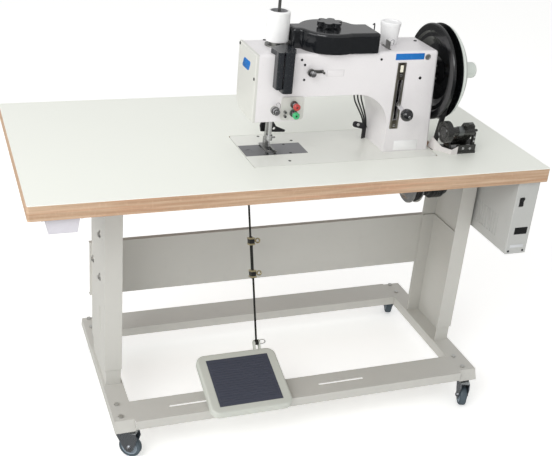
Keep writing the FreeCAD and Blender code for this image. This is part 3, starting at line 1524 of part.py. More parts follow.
def build_covers():
    """Take-up guard, and the pattern cam with its cover and lobed knob."""
    build_guard()
    y = d.drive_y
    low = arm_top
    high = low + d.cover_height

    def body_at(wall, bottom, top):
        drum = rod("z", d.cover_radius - wall, bottom, top, d.cover_x, y)
        left = box(d.cover_left + wall, d.cover_x, y - d.cover_left_front + wall,
                   y + d.cover_left_back - wall, bottom, top)
        right = box(d.cover_x, d.cover_right - wall, y - d.cover_right_front + wall,
                    y + d.cover_right_back - wall, bottom, top)
        return fuse(drum, left, right)

    outer = rounded(body_at(0, low, high), d.cover_round + 1, along("z"))
    outer = rounded(outer, d.cover_round, lambda m, run, e: m.z > number(high) - 0.1)
    inner = body_at(d.cover_wall, low - 1, high - d.cover_roof)
    stud_hole = rod("z", d.stud_radius + 1, high - d.cover_roof * 2, high + 1, d.cover_x, y)
    node("cam_cover", cut(outer, inner, stud_hole))
    knob_low = high + d.seat_gap
    knob_top = knob_low + d.knob_height
    knob = rod("z", d.knob_radius, knob_low, knob_top, d.cover_x, y)
    lobes = []
    for index in range(KNOB_LOBES):
        angle = 360.0 * index / KNOB_LOBES
        lobes.append(rod("z", d.lobe_radius, knob_low + d.knob_step, knob_top,
                         d.cover_x + d.knob_radius * cosine(angle), y + d.knob_radius * sine(angle)))
    knob_bore = rod("z", d.stud_radius + d.running_gap, knob_low - 1, knob_low + d.knob_bore, d.cover_x, y)
    node("cover_knob", cut(fuse(knob, *lobes), knob_bore))
    cam_low = low + d.cam_rise
    span = (cam_low - 1, cam_low + d.cam_thick + 1)
    disc = cut(rod("z", d.cam_radius, cam_low, cam_low + d.cam_thick, d.cover_x, y),
               rod("z", d.cam_hub + d.running_gap, *span, d.cover_x, y))
    notches = []
    for index in range(CAM_NOTCHES):
        angle = 360.0 * index / CAM_NOTCHES
        reach = d.cam_radius + 2
        notches.append(rod("z", d.cam_notch, *span, d.cover_x + reach * cosine(angle),
                           y + reach * sine(angle)))
    node("pattern_cam", cut(disc, *notches))


def build_guard():
    """Two-lobed take-up guard with a wing that lies over the top of the head."""
    y0 = arm_front - d.guard_deep
    wall = d.guard_wall
    low = d.table_height + d.guard_rise
    left_low = d.table_height + d.guard_left_rise
    high = d.table_height + d.guard_top_rise

    def front_corner(middle, run, edge):
        return along("z")(middle, run, edge) and middle.y < number(y0) + 1

    left_lobe = rounded(box(d.guard_left, d.guard_split, y0, arm_front, left_low, high),
                        d.guard_round, front_corner)
    right_lobe = rounded(box(d.guard_split, d.guard_right, y0, arm_front, low, high),
                         d.guard_round, front_corner)
    wing = profile("xy", [(d.guard_left, arm_front - 10), (d.guard_right, arm_front - 10),
                          (d.guard_right + 10, arm_front), (d.guard_right + 7, arm_front + 31),
                          (d.guard_right - 2, arm_front + 49), (d.guard_split + 4, arm_front + 43),
                          (d.guard_left - 5, arm_front + 18)], arm_top + d.seat_gap, high)
    room_top = high - wall
    left_room = box(d.guard_left + wall, d.guard_split + wall, y0 + wall, arm_front + 1,
                    left_low + wall, room_top)
    right_room = box(d.guard_split + 2, d.guard_right - wall, y0 + wall, arm_front + 1,
                     low + wall, room_top)
    shell = cut(fuse(left_lobe, right_lobe), left_room, right_room)
    node("take_up_guard", fuse(shell, wing))


def build_controls():
    """Tension panel and nuts, stitch scale with its ball lever."""
    y = arm_front
    panel_y = y - d.panel_sheet
    x = d.tension_x
    low = d.table_height + d.panel_rise
    high = d.table_height + d.panel_top_rise
    panel = rounded(box(d.panel_left, d.panel_right, panel_y, y, low, high), d.panel_round,
                    lambda m, run, e: along("y")(m, run, e))
    nut_y = panel_y - 18
    pieces = [panel]
    for z in (red_z, green_z):
        pieces.append(rod("y", d.tension_post, nut_y - 10, panel_y, x, z))
        for disc_y in (panel_y - 5, panel_y - 8):
            pieces.append(rod("y", d.tension_disc, disc_y, disc_y + 1.6, x, z))
    for stop_z in (green_z - 8, green_z + 3):
        pieces.append(rod("y", d.stop_radius, panel_y - 8, panel_y, d.stop_x, stop_z))
    check_z = d.table_height + d.check_rise
    check = fuse(rod("y", d.check_radius, y - 12, y, d.check_x, check_z),
                 rod("y", d.check_radius - 4, y - 24, y - 11, d.check_x, check_z))
    node("tension_panel", group(fuse(*pieces), check))
    bore = d.tension_post + d.running_gap
    nut_end = nut_y - 13
    for label, z in (("red_tension_nut", red_z), ("green_tension_nut", green_z)):
        nut = turned("y", [(nut_y, bore), (nut_y, 6), (nut_y - 4, d.nut_radius), (nut_y - 11, d.nut_radius),
                           (nut_end, d.nut_radius - 2), (nut_end, bore)], x, z)
        node(label, nut)
    half = d.scale_width / 2
    slit = d.scale_slot_half - 3
    scale = box(d.scale_x - half, d.scale_x + half, y - d.scale_sheet, y, scale_low, scale_high)
    slot = box(d.scale_x - slit, d.scale_x + slit, y - d.scale_sheet - 1, y + 1,
               scale_low + d.scale_slot_low, scale_high - d.scale_slot_high)
    node("scale_plate", cut(scale, slot))
    x0 = d.scale_x - d.stitch_half
    x1 = d.scale_x + d.stitch_half
    pivot_y = y + d.stitch_pivot
    z = stitch_z
    ball_y = pivot_y - d.ball_reach
    ball_z = z - d.ball_drop
    stem_half = d.stitch_half
    hub = rod("x", 9, x0, x1, pivot_y, z)
    stem = profile("yz", [(pivot_y, z - stem_half), (pivot_y, z + stem_half), (ball_y, ball_z + stem_half),
                          (ball_y, ball_z - stem_half)], x0, x1)
    knob = ball(d.ball_radius, d.scale_x, ball_y, ball_z)
    node("stitch_lever", cut(fuse(hub, stem, knob),
                             rod("x", d.stitch_pin + d.running_gap, x0 - 1, x1 + 1, pivot_y, z)))


def build_thread_supply():
    """Spool and its pin, the white cup, and the thread guides on the arm."""
    top = arm_top
    x = d.spool_x
    y = d.spool_y
    r = d.spool_radius
    low = d.table_height + d.spool_rise
    high = low + d.spool_height
    base = fuse(rod("z", r + 1, top, top + d.spool_plate, x, y),
                rod("z", d.spool_neck, top, low - d.seat_gap, x, y),
                rod("z", d.spool_pin, top, d.table_height + d.pin_rise, x, y))
    front = arm_front
    post_z = d.table_height + d.post_rise
    front_post = fuse(rod("y", d.post_radius, front - d.post_reach, front, d.post_x, post_z),
                      rod("y", d.tension_disc, front - 10, front - 7, d.post_x, post_z),
                      rod("y", d.tension_disc, front - 14, front - 11, d.post_x, post_z))
    strip = d.post_radius
    hook = fuse(box(d.post_x + d.tension_disc, d.hook_right, front - 3, front,
                    post_z - strip, post_z + strip),
                rod("y", 3, front - 16, front, d.hook_right - 3, post_z))
    clip_edge = d.clip_x + 2
    top_guide = fuse(box(d.clip_x, clip_edge + 4, d.clip_front, d.clip_back, top, top + 2),
                     box(d.clip_x, clip_edge, d.clip_front, d.clip_front + 24, top, top + d.clip_height))
    node("thread_guides", group(base, front_post, hook, top_guide))
    bore = d.spool_pin + d.running_gap * 4
    node("thread_spool", turned("z", [(low, bore), (low, r - 1), (low + 2, r), (high - 2, r), (high, r - 2),
                                      (high, r - 7), (high - 5, r - 8), (high - 5, bore)], x, y))
    cup_top = top + d.cup_height
    rim = d.cup_radius
    foot = d.cup_foot
    node("oil_cup", turned("z", [(top, 0), (top, foot - 1), (top + 2, foot), (cup_top - 8, rim - 1),
                                 (cup_top - 8, rim), (cup_top, rim), (cup_top + 2, rim - 2),
                                 (cup_top + 2, rim - 7), (cup_top, rim - 8), (cup_top, 0)], d.cup_x, d.cup_y))


def build_winder():
    """Bobbin winder let into the table beside the belt: base, swinging arm and friction wheel."""
    x0 = d.winder_left
    x1 = x0 + d.winder_width
    y0 = d.winder_front
    floor = d.table_height
    deck = floor + d.winder_plate
    pivot_y = d.winder_pivot_y
    pivot_z = floor + d.winder_pivot_rise
    hub = d.winder_hub
    base = box(x0, x1, y0, y0 + d.winder_depth, laminate_under, deck)
    side = [(pivot_y - 26, deck - 1), (pivot_y + 14, deck - 1), (pivot_y + hub, pivot_z + hub),
            (pivot_y - hub, pivot_z + hub)]
    left_cheek = x0 + d.winder_cheek
    block = x1 - d.winder_block
    cheeks = [profile("yz", side, left_cheek, left_cheek + d.winder_cheek), profile("yz", side, block, x1)]
    pin = rod("x", d.winder_pin, x0 + 4, x1 - 4, pivot_y, pivot_z)
    front_wall = box(left_cheek + d.winder_cheek + 8, x1, y0 + 2, y0 + 8, deck - 1, floor + d.winder_wall)
    post = box(x1 - 10, x1 - 2, y0 + 7, y0 + 16, deck - 1, floor + d.winder_post)
    node("winder_base", fuse(base, *cheeks, pin, front_wall, post))
    wheel_y = d.winder_wheel_y
    wheel_z = floor + d.winder_wheel_rise
    a0 = left_cheek + d.winder_cheek + 1
    a1 = block - 1
    boss_left = x0 - 8
    sleeve = rod("x", hub, a0, a1, pivot_y, pivot_z)
    boss = rod("x", d.winder_boss, boss_left, a1, wheel_y, wheel_z)
    plate = profile("yz", [(pivot_y - 8, pivot_z - 4), (pivot_y + 7, pivot_z + 5),
                           (wheel_y + 12, wheel_z + 14), (wheel_y + 6, wheel_z + 22),
                           (wheel_y - 8, wheel_z + 16), (wheel_y - 10, wheel_z - 6)], d.winder_bracket, a1)
    hook_x = d.winder_bracket
    latch = profile("xz", [(hook_x, wheel_z + 10), (hook_x + 10, wheel_z + 10), (hook_x + 12, wheel_z + 17),
                           (hook_x + 21, wheel_z + 25), (hook_x + 9, wheel_z + 24),
                           (hook_x + 1, wheel_z + 18)], wheel_y - 15, wheel_y - 4)
    spindle = d.winder_spindle + d.running_gap
    arm = cut(fuse(sleeve, boss, plate, latch), rod("x", d.winder_pin + d.running_gap, a0 - 1, a1 + 1,
                                                    pivot_y, pivot_z),
              rod("x", spindle, boss_left - 1, a1 + 1, wheel_y, wheel_z))
    node("winder_arm", arm)
    w = d.winder_wheel
    core = d.winder_boss + 4
    left = d.belt_x - d.winder_wheel_half
    right = d.belt_x + d.winder_wheel_half
    end = x1 - 5
    node("winder_wheel", turned("x", [(left, 0), (end, 0), (end, 3), (end - 2, d.winder_spindle),
                                      (right, d.winder_spindle), (right, core), (right - 3, core + 2),
                                      (right - 3, w - 6), (right, w - 4), (right - 1, w), (left + 1, w),
                                      (left, w - 4), (left + 3, w - 6), (left + 3, core + 2), (left, core)],
                                wheel_y, wheel_z))


def rounded_path(points):
    """Straight runs joined by tangent arcs, each as large as its two runs allow."""
    share = 0.45
    edges = []
    start = points[0]
    for before, corner, after in zip(points, points[1:], points[2:]):
        run_in = corner - before
        run_out = after - corner
        turn = run_in.getAngle(run_out)
        trim = share * min(run_in.Length, run_out.Length)
        first = corner - FreeCAD.Vector(run_in).normalize() * trim
        last = corner + FreeCAD.Vector(run_out).normalize() * trim
        radius = trim / math.tan(turn / 2)
        bisector = (FreeCAD.Vector(run_out).normalize() - FreeCAD.Vector(run_in).normalize()).normalize()
        middle = corner + bisector * (radius / math.cos(turn / 2) - radius)
        edges.append(Part.LineSegment(start, first).toShape())
        edges.append(Part.Arc(first, middle, last).toShape())
        start = last
    edges.append(Part.LineSegment(start, points[-1]).toShape())
    return Part.Wire(edges)


def build_cables():
    """Three leads from the underside of the arch down to the bed, gathered beside the column."""
    r = number(d.cable_radius)
    arch = number(d.arch_radius)
    arch_x = number(d.column_left) - arch
    arch_z = number(arm_under) - arch
    bed_top = number(d.table_height)
    solids = []
    for index in range(LEADS):
        start_x = number(d.cable_top + d.cable_top_pitch * index)
        reach = start_x + r - arch_x
        start_z = arch_z + math.sqrt(arch * arch - reach * reach) - 0.2
        end_x = number(d.cable_foot + d.cable_foot_pitch * index)
        lead_y = number(d.cable_y) + r * (index - 1)
        points = [FreeCAD.Vector(start_x, lead_y, start_z),
                  FreeCAD.Vector(start_x + r, lead_y, bed_top + number(d.cable_bend_high)),
                  FreeCAD.Vector(end_x, lead_y, bed_top + number(d.cable_bend_low)),
                  FreeCAD.Vector(end_x, lead_y, bed_top)]
        path = rounded_path(points)
        ring = Part.Wire(Part.Circle(points[0], (points[1] - points[0]), r).toShape())
        solids.append(path.makePipeShell([ring], True, False))
    cables = doc.addObject("Part::Feature", "cables")
    cables.Shape = Part.makeCompound(solids)
    node("cables", cables)


build_table()
build_stand()
for caster in CASTERS:
    build_caster(*caster)
build_drawer()
build_treadle()
build_speed_control(*build_rod())
build_motor()
build_control()
build_bed()
build_arm()
build_drive()
build_handwheel()
build_needle()
build_covers()
build_controls()
build_thread_supply()
build_winder()
build_cables()

doc.recompute()
for item in doc.Objects:
    if "Invalid" in item.State or "Error" in item.State:
        raise RuntimeError("%s (%s) failed: %s" % (item.Name, item.Label, item.State))
os.makedirs("parts", exist_ok=True)
for item in nodes:
    shape = item.Shape
    if shape.isNull() or not shape.isValid() or not shape.Solids:
        raise RuntimeError("%s has no sound solid" % item.Label)
    shape.exportStep("parts/%s.step" % item.Label)
print(len(nodes), "nodes")
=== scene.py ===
"""Looks of an industrial zigzag sewing machine on its work table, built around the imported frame.

Everything is in metres: +X to the operator's right, +Y away from the operator, +Z up.
"""

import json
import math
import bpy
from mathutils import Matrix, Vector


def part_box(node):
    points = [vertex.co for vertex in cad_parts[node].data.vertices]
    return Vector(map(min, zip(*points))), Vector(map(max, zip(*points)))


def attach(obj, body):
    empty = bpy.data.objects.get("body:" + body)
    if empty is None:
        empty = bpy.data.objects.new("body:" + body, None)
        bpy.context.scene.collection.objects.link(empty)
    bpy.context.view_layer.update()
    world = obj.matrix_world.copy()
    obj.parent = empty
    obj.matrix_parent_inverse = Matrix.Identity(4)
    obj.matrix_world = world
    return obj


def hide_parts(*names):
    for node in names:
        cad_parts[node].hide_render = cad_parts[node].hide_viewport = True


bl_info = {
    "name": "Industrial sewing machine",
    "version": (1, 0, 0),
    "blender": (4, 5, 0),
    "location": "View3D > Sidebar > Sewing",
    "description": "Finishes, trim and stage for an industrial sewing machine on its table",
    "category": "Object",
}

import bmesh
import bpy
from bpy.props import FloatProperty, FloatVectorProperty, IntProperty, PointerProperty
from mathutils import Matrix, Vector

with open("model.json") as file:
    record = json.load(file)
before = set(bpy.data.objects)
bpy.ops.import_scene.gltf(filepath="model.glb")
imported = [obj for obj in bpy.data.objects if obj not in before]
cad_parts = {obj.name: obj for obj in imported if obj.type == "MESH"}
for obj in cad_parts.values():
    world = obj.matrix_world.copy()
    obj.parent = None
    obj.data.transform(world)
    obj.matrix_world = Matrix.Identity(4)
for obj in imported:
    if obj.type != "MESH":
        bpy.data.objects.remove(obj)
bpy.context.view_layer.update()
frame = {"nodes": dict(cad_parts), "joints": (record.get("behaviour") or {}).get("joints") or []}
FULL_TURN = 2 * math.pi
MM = 0.001
WELD = 1e-6
TO_FRONT = (0, -1, 0)
TO_LEFT = (-1, 0, 0)
TO_RIGHT = (1, 0, 0)
UPWARD = (0, 0, 1)
EVEN_GRAIN = (20, 20, 20)


def linear(red, green, blue):
    """A colour in linear light from three display levels of 0 to 255."""
    def channel(level):
        share = level / 255
        return share / 12.92 if share <= 0.04045 else ((share + 0.055) / 1.055) ** 2.4
    return tuple(channel(level) for level in (red, green, blue))


def shade(colour, factor):
    """A lighter or darker version of a colour, with full opacity."""
    return tuple(min(1.0, channel * factor) for channel in colour[:3]) + (1.0,)


def colour_setting(name, description, default):
    return FloatVectorProperty(name=name, description=description, subtype="COLOR", size=3, min=0, max=1,
                               default=default)


def length_setting(name, description, default):
    return FloatProperty(name=name, description=description, unit="LENGTH", subtype="DISTANCE", min=0,
                         default=default)


class SewingColours(bpy.types.PropertyGroup):
    """Colours of the finishes."""
    laminate: colour_setting("Laminate", "Table top", linear(245, 247, 239))
    ply_light: colour_setting("Light ply", "Long-grain plies on the board's edge", linear(206, 178, 150))
    ply_dark: colour_setting("Dark ply", "End-grain plies on the board's edge", linear(182, 146, 116))
    stand: colour_setting("Stand", "Paint on the stand", linear(202, 201, 195))
    enamel: colour_setting("Head enamel", "Enamel on the arm", linear(237, 234, 235))
    bed: colour_setting("Bed enamel", "Enamel on the bed", linear(238, 239, 232))
    face: colour_setting("Face plate", "Enamel on the face plate", linear(216, 216, 210))
    gloss_black: colour_setting("Gloss black", "Guard, cover, knobs and handwheel", linear(21, 23, 26))
    disc: colour_setting("Handwheel disc", "Enamel on the domed disc", linear(222, 228, 222))
    control: colour_setting("Control box", "Paint on the control box", linear(189, 190, 187))
    badge: colour_setting("Badge", "Bare plate on the column", linear(25, 115, 195))
    red: colour_setting("Red nut", "Upper tension nut", linear(190, 70, 66))
    green: colour_setting("Green nut", "Lower tension nut", linear(70, 185, 120))
    mat: colour_setting("Treadle mat", "Ribbed rubber mat", linear(70, 74, 88))
    tyre: colour_setting("Caster tyre", "Caster tyres", linear(76, 88, 96))
    drawer: colour_setting("Drawer", "Moulded drawer", linear(213, 211, 218))
    floor: colour_setting("Floor", "Studio floor", linear(246, 246, 244))


class SewingSizes(bpy.types.PropertyGroup):
    """Sizes of the trim."""
    screw_sides: IntProperty(name="Screw sides", description="Sides of a screw head", min=8, default=20)
    badge_width: length_setting("Badge width", "Bare plate on the column", 84 * MM)
    badge_height: length_setting("Badge height", "Bare plate on the column", 17 * MM)
    plate_thick: length_setting("Plate thickness", "Badges and stickers", 0.6 * MM)
    washer_radius: length_setting("Washer radius", "Washers under the leg bolts", 11 * MM)


class Wire:
    """One output socket of a material. Arithmetic on it adds Math nodes."""

    def __init__(self, finish, socket):
        self.finish = finish
        self.socket = socket

    def math(self, operation, *values):
        return self.finish.node("ShaderNodeMath", {"operation": operation}, dict(enumerate(values)))

    def __add__(self, other):
        return self.math("ADD", self, other)

    __radd__ = __add__

    def __sub__(self, other):
        return self.math("SUBTRACT", self, other)

    def __rsub__(self, other):
        return self.math("SUBTRACT", other, self)

    def __mul__(self, other):
        return self.math("MULTIPLY", self, other)

    __rmul__ = __mul__

    def __truediv__(self, other):
        return self.math("DIVIDE", self, other)

    def __rtruediv__(self, other):
        return self.math("DIVIDE", other, self)

    def __gt__(self, other):
        return self.math("GREATER_THAN", self, other)

    def __lt__(self, other):
        return self.math("LESS_THAN", self, other)

    def __abs__(self):
        return self.math("ABSOLUTE", self)

    def fraction(self):
        return self.math("FRACT", self)

    def between(self, start, end):
        """Zero below start, one above end, with a smooth step between."""
        return self.finish.node("ShaderNodeMapRange", {"interpolation_type": "SMOOTHSTEP"},
                                {0: self, 1: start, 2: end})


class Finish:
    """A procedural material, or the sky, and the nodes behind its shader."""

    def __init__(self, name, store="materials", shader="Principled BSDF"):
        self.block = getattr(bpy.data, store).new("finish_" + name)
        self.block.use_nodes = True
        self.tree = self.block.node_tree
        self.shader = self.tree.nodes[shader]
        self.coordinates = self.node("ShaderNodeTexCoord", {}, {}, "Object")

    def node(self, kind, settings, sockets, output=0):
        """Add a node: first its settings, then the values or wires of its sockets. Returns one output."""
        made = self.tree.nodes.new(kind)
        for name, value in settings.items():
            setattr(made, name, value)
        for key, value in sockets.items():
            self.feed(made.inputs[key], value)
        return Wire(self, made.outputs[output])

    def feed(self, socket, value):
        if isinstance(value, Wire):
            self.tree.links.new(value.socket, socket)
        else:
            socket.default_value = value

    def set(self, sockets):
        """Feed the shader's own inputs."""
        for name, value in sockets.items():
            self.feed(self.shader.inputs[name], value)
        return self.block

    def axis(self, letter):
        return self.node("ShaderNodeSeparateXYZ", {}, {0: self.coordinates}, letter.upper())

    def noise(self, scale, detail=2.0, stretch=None):
        """Cloudy noise of 0 to 1 with about scale features in a metre, drawn out by stretch."""
        place = self.coordinates
        if stretch:
            place = self.node("ShaderNodeMapping", {}, {"Vector": place, "Scale": stretch})
        return self.node("ShaderNodeTexNoise", {}, {"Vector": place, "Scale": scale, "Detail": detail})

    def mix(self, factor, first, second):
        """A colour between two colours."""
        return self.node("ShaderNodeMix", {"data_type": "RGBA"}, {0: factor, 6: first, 7: second}, 2)

    def bump(self, height, distance, normal=None):
        sockets = {"Height": height, "Distance": distance, "Strength": 1.0}
        if normal:
            sockets["Normal"] = normal
        return self.node("ShaderNodeBump", {}, sockets)

    def soft_edges(self, radius):
        """The normal with edges rounded by radius, and a mask that is one along those edges."""
        soft = self.node("ShaderNodeBevel", {"samples": 4}, {"Radius": radius})
        true = self.node("ShaderNodeNewGeometry", {}, {}, "Normal")
        match = self.node("ShaderNodeVectorMath", {"operation": "DOT_PRODUCT"}, {0: soft, 1: true}, "Value")
        return soft, (1 - match).between(0.02, 0.3)


def made_once(recipe):
    """Keep each finish that a recipe makes, so that pieces of one finish share one material."""
    kept = {}

    def keep(name, *settings, **options):
        if name not in kept:
            kept[name] = recipe(name, *settings, **options)
        return kept[name]
    return keep


@made_once
def painted(name, colour, roughness=0.42, peel=0.00004, worn=0.25, edge=0.0012, coat=0.0):
    """Sprayed or powder paint: faint clouds, fine orange peel, edges rubbed a little lighter."""
    finish = Finish(name)
    clouds = finish.noise(7, 3)
    peeled = finish.noise(420, 1)
    dirt = finish.noise(38, 4).between(0.56, 0.8)
    soft, edges = finish.soft_edges(edge)
    base = finish.mix(clouds, shade(colour, 0.955), shade(colour, 1.03))
    base = finish.mix(dirt * 0.10, base, shade(colour, 0.72))
    base = finish.mix(edges * worn, base, shade(colour, 1.16))
    return finish.set({
        "Base Color": base,
        "Roughness": roughness + (peeled - 0.5) * 0.14 + dirt * 0.06,
        "Normal": finish.bump(peeled, peel, soft),
        "Coat Weight": coat,
    })


@made_once
def glossy(name, colour, roughness=0.16, wave=0.00003, edge=0.001):
    """Gloss plastic or black enamel: deep colour, slow waves in the shine, thin dust and rubbed edges."""
    finish = Finish(name)
    waves = finish.noise(46, 1)
    dust = finish.noise(260, 4).between(0.5, 0.85)
    soft, edges = finish.soft_edges(edge)
    base = finish.mix(dust * 0.03, shade(colour, 1.0), (0.42, 0.42, 0.40, 1))
    base = finish.mix(edges * 0.18, base, shade(colour, 1.9))
    return finish.set({
        "Base Color": base,
        "Roughness": roughness + dust * 0.16 + edges * 0.08,
        "Normal": finish.bump(waves, wave, soft),
        "Coat Weight": 0.3,
    })


@made_once
def brushed(name, colour, roughness=0.34, stretch=(3, 60, 60), edge=0.0005):
    """Ground or brushed steel: fine lines along one axis, light smudges."""
    finish = Finish(name)
    lines = finish.noise(30, 4, stretch)
    smudge = finish.noise(24, 3).between(0.45, 0.8)
    soft, edges = finish.soft_edges(edge)
    base = finish.mix(lines, shade(colour, 0.8), shade(colour, 1.15))
    base = finish.mix(edges * 0.4, base, shade(colour, 1.5))
    return finish.set({
        "Base Color": base,
        "Metallic": 1.0,
        "Roughness": roughness + (lines - 0.5) * 0.25 + smudge * 0.1,
        "Normal": finish.bump(lines, 0.00003, soft),
    })


@made_once
def polished(name, colour, roughness=0.12):
    """Chrome or nickel: bright metal with faint smears."""
    finish = Finish(name)
    smears = finish.noise(60, 3, (1, 1, 0.3)).between(0.4, 0.8)
    return finish.set({
        "Base Color": finish.mix(smears, shade(colour, 1.0), shade(colour, 0.82)),
        "Metallic": 1.0,
        "Roughness": roughness + smears * 0.14,
    })


@made_once
def rubbery(name, colour, roughness=0.68, grain=0.00006):
    """Rubber or soft plastic: matt, finely grained, with pale scuffs."""
    finish = Finish(name)
    fine = finish.noise(900, 2)
    scuffs = finish.noise(26, 5, (1, 3, 1)).between(0.55, 0.8)
    soft, edges = finish.soft_edges(0.0006)
    base = finish.mix(fine, shade(colour, 0.85), shade(colour, 1.12))
    base = finish.mix(scuffs * 0.22 + edges * 0.2, base, shade(colour, 1.9))
    return finish.set({
        "Base Color": base,
        "Roughness": roughness + scuffs * 0.1,
        "Normal": finish.bump(fine, grain, soft),
    })


@made_once
def moulded(name, colour, roughness=0.4, edge=0.0008):
    """Injection-moulded plastic: even colour, faint flow marks and a fine grain."""
    finish = Finish(name)
    flow = finish.noise(9, 3, (1, 0.4, 1))
    fine = finish.noise(700, 2)
    soft, edges = finish.soft_edges(edge)
    base = finish.mix(flow, shade(colour, 0.94), shade(colour, 1.05))
    base = finish.mix(edges * 0.25, base, shade(colour, 1.2))
    return finish.set({
        "Base Color": base,
        "Roughness": roughness + (fine - 0.5) * 0.12,
        "Normal": finish.bump(fine, 0.00002, soft),
    })


def dress(material, *names):
    """Give CAD nodes a finish."""
    for name in names:
        node = frame["nodes"][name]
        if not node.material_slots:
            node.data.materials.append(material)
        for slot in node.material_slots:
            slot.material = material


def piece(name, bm, body, material, smooth_angle=40):
    """Turn a bmesh into a piece that rides on a body."""
    bmesh.ops.recalc_face_normals(bm, faces=bm.faces)
    mesh = bpy.data.meshes.new(name)
    bm.to_mesh(mesh)
    bm.free()
    mesh.shade_smooth()
    mesh.set_sharp_from_angle(angle=math.radians(smooth_angle))
    made = bpy.data.objects.new(name, mesh)
    bpy.context.scene.collection.objects.link(made)
    mesh.materials.append(material)
    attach(made, body)
    return made


def at(x, y, z):
    """A place given in millimetres."""
    return Vector((x, y, z)) * MM


def turning(axis):
    """The rotation that takes +Z to an axis."""
    return Vector(UPWARD).rotation_difference(Vector(axis)).to_matrix().to_4x4()


def facing(place, out, up=UPWARD):
    """The matrix that lays a flat shape on a surface: its Z along out, its Y towards up."""
    out = Vector(out).normalized()
    right = Vector(up).cross(out).normalized()
    return Matrix.Translation(place) @ Matrix((right, out.cross(right), out)).transposed().to_4x4()


def join(bm, shape, place):
    """Set a finished shape in its place and take it into a piece's mesh."""
    bmesh.ops.transform(shape, matrix=place, verts=shape.verts)
    bmesh.ops.recalc_face_normals(shape, faces=shape.faces)
    mesh = bpy.data.meshes.new("shape")
    shape.to_mesh(mesh)
    shape.free()
    bm.from_mesh(mesh)
    bpy.data.meshes.remove(mesh)


def round_edges(shape, edges, offset, segments=2):
    bmesh.ops.bevel(shape, geom=edges, offset=offset, offset_type="OFFSET", segments=segments, profile=0.5,
                    affect="EDGES", material=-1, clamp_overlap=True)


def add_turned(bm, outline, centre, axis, steps):
    """Turn an outline of (run along the axis, radius) points in millimetres about an axis through centre."""
    shape = bmesh.new()
    points = [shape.verts.new((radius * MM, 0, run * MM)) for run, radius in outline]
    edges = [shape.edges.new(pair) for pair in zip(points, points[1:])]
    bmesh.ops.spin(shape, geom=points + edges, cent=(0, 0, 0), axis=UPWARD, angle=FULL_TURN, steps=steps,
                   use_merge=True)
    bmesh.ops.remove_doubles(shape, verts=shape.verts, dist=WELD)
    join(bm, shape, Matrix.Translation(centre) @ turning(axis))


def both_ways(outline):
    """A closed outline from its half: the half itself, then its mirror image, back to the first point."""
    return outline + [(-run, radius) for run, radius in reversed(outline)] + outline[:1]


def add_block(bm, size, place, rounding):
    """A block of a size in millimetres about a place, with its edges rounded."""
    shape = bmesh.new()
    bmesh.ops.create_cube(shape, size=MM, matrix=Matrix.Diagonal((*size, 1)))
    round_edges(shape, shape.edges[:], rounding * MM)
    join(bm, shape, place)


def add_plate(bm, outline, thick, place, corner=0.0, rounding=0.2):
    """A flat plate of an outline of (x, y) points in millimetres, standing up from its place."""
    shape = bmesh.new()
    face = shape.faces.new([shape.verts.new((x * MM, y * MM, 0)) for x, y in outline])
    raised = bmesh.ops.extrude_face_region(shape, geom=[face])
    verts = [item for item in raised["geom"] if isinstance(item, bmesh.types.BMVert)]
    bmesh.ops.translate(shape, verts=verts, vec=(0, 0, thick * MM))
    if corner:
        uprights = [edge for edge in shape.edges if edge.verts[0].co.z != edge.verts[1].co.z]
        round_edges(shape, uprights, corner * MM, 6)
    rim = [edge for edge in shape.edges if all(vert.co.z > thick * MM * 0.9 for vert in edge.verts)]
    round_edges(shape, rim, rounding * MM)
    join(bm, shape, place)


def rectangle(width, height):
    """Corners of a rectangle about its middle."""
    w = width / 2
    h = height / 2
    return [(-w, -h), (w, -h), (w, h), (-w, h)]


def add_screw(bm, seat, axis, head, turn=0.6):
    """A slotted screw head of a radius and a height in millimetres, standing on its seat."""
    shape = bmesh.new()
    radius, tall = (value * MM for value in head)
    slot_half = radius * 0.16
    slot_floor = tall * 0.45
    bmesh.ops.create_cone(shape, cap_ends=True, segments=sizes().screw_sides, radius1=radius, radius2=radius,
                          depth=tall, matrix=Matrix.Translation((0, 0, tall / 2)))
    rim = [edge for edge in shape.edges if all(vert.co.z > tall * 0.9 for vert in edge.verts)]
    round_edges(shape, rim, tall * 0.35, 3)
    for side in (-1, 1):
        bmesh.ops.bisect_plane(shape, geom=shape.verts[:] + shape.edges[:] + shape.faces[:],
                               plane_co=(0, side * slot_half, 0), plane_no=(0, 1, 0), dist=1e-7)
    strip = [face for face in shape.faces
             if face.normal.z > 0.3 and abs(face.calc_center_median().y) < slot_half * 0.9]
    pushed = bmesh.ops.extrude_face_region(shape, geom=strip)
    bmesh.ops.delete(shape, geom=strip, context="FACES_ONLY")
    for item in pushed["geom"]:
        if isinstance(item, bmesh.types.BMVert):
            item.co.z = slot_floor
    join(bm, shape, Matrix.Translation(seat) @ turning(axis) @ Matrix.Rotation(turn, 4, "Z"))


def wire_section(shape, radius, wire, sides):
    """A circle of wire that stands at a radius from the Z axis, ready to be carried round it."""
    place = Matrix.Translation((radius * MM, 0, 0)) @ Matrix.Rotation(math.pi / 2, 4, "X")
    bmesh.ops.create_circle(shape, cap_ends=False, segments=sides, radius=wire * MM, matrix=place)
    return shape.verts[:] + shape.edges[:]


def add_coil(bm, start, axis, radius, wire, pitch, turns, steps=16, sides=6):
    """A wire carried round an axis and along it, for springs and wound thread."""
    shape = bmesh.new()
    bmesh.ops.spin(shape, geom=wire_section(shape, radius, wire, sides), cent=(0, 0, 0), axis=UPWARD,
                   dvec=(0, 0, pitch * MM / steps), angle=FULL_TURN * turns, steps=steps * turns,
                   use_merge=False)
    bmesh.ops.holes_fill(shape, edges=[edge for edge in shape.edges if edge.is_boundary], sides=0)
    join(bm, shape, Matrix.Translation(start) @ turning(axis))


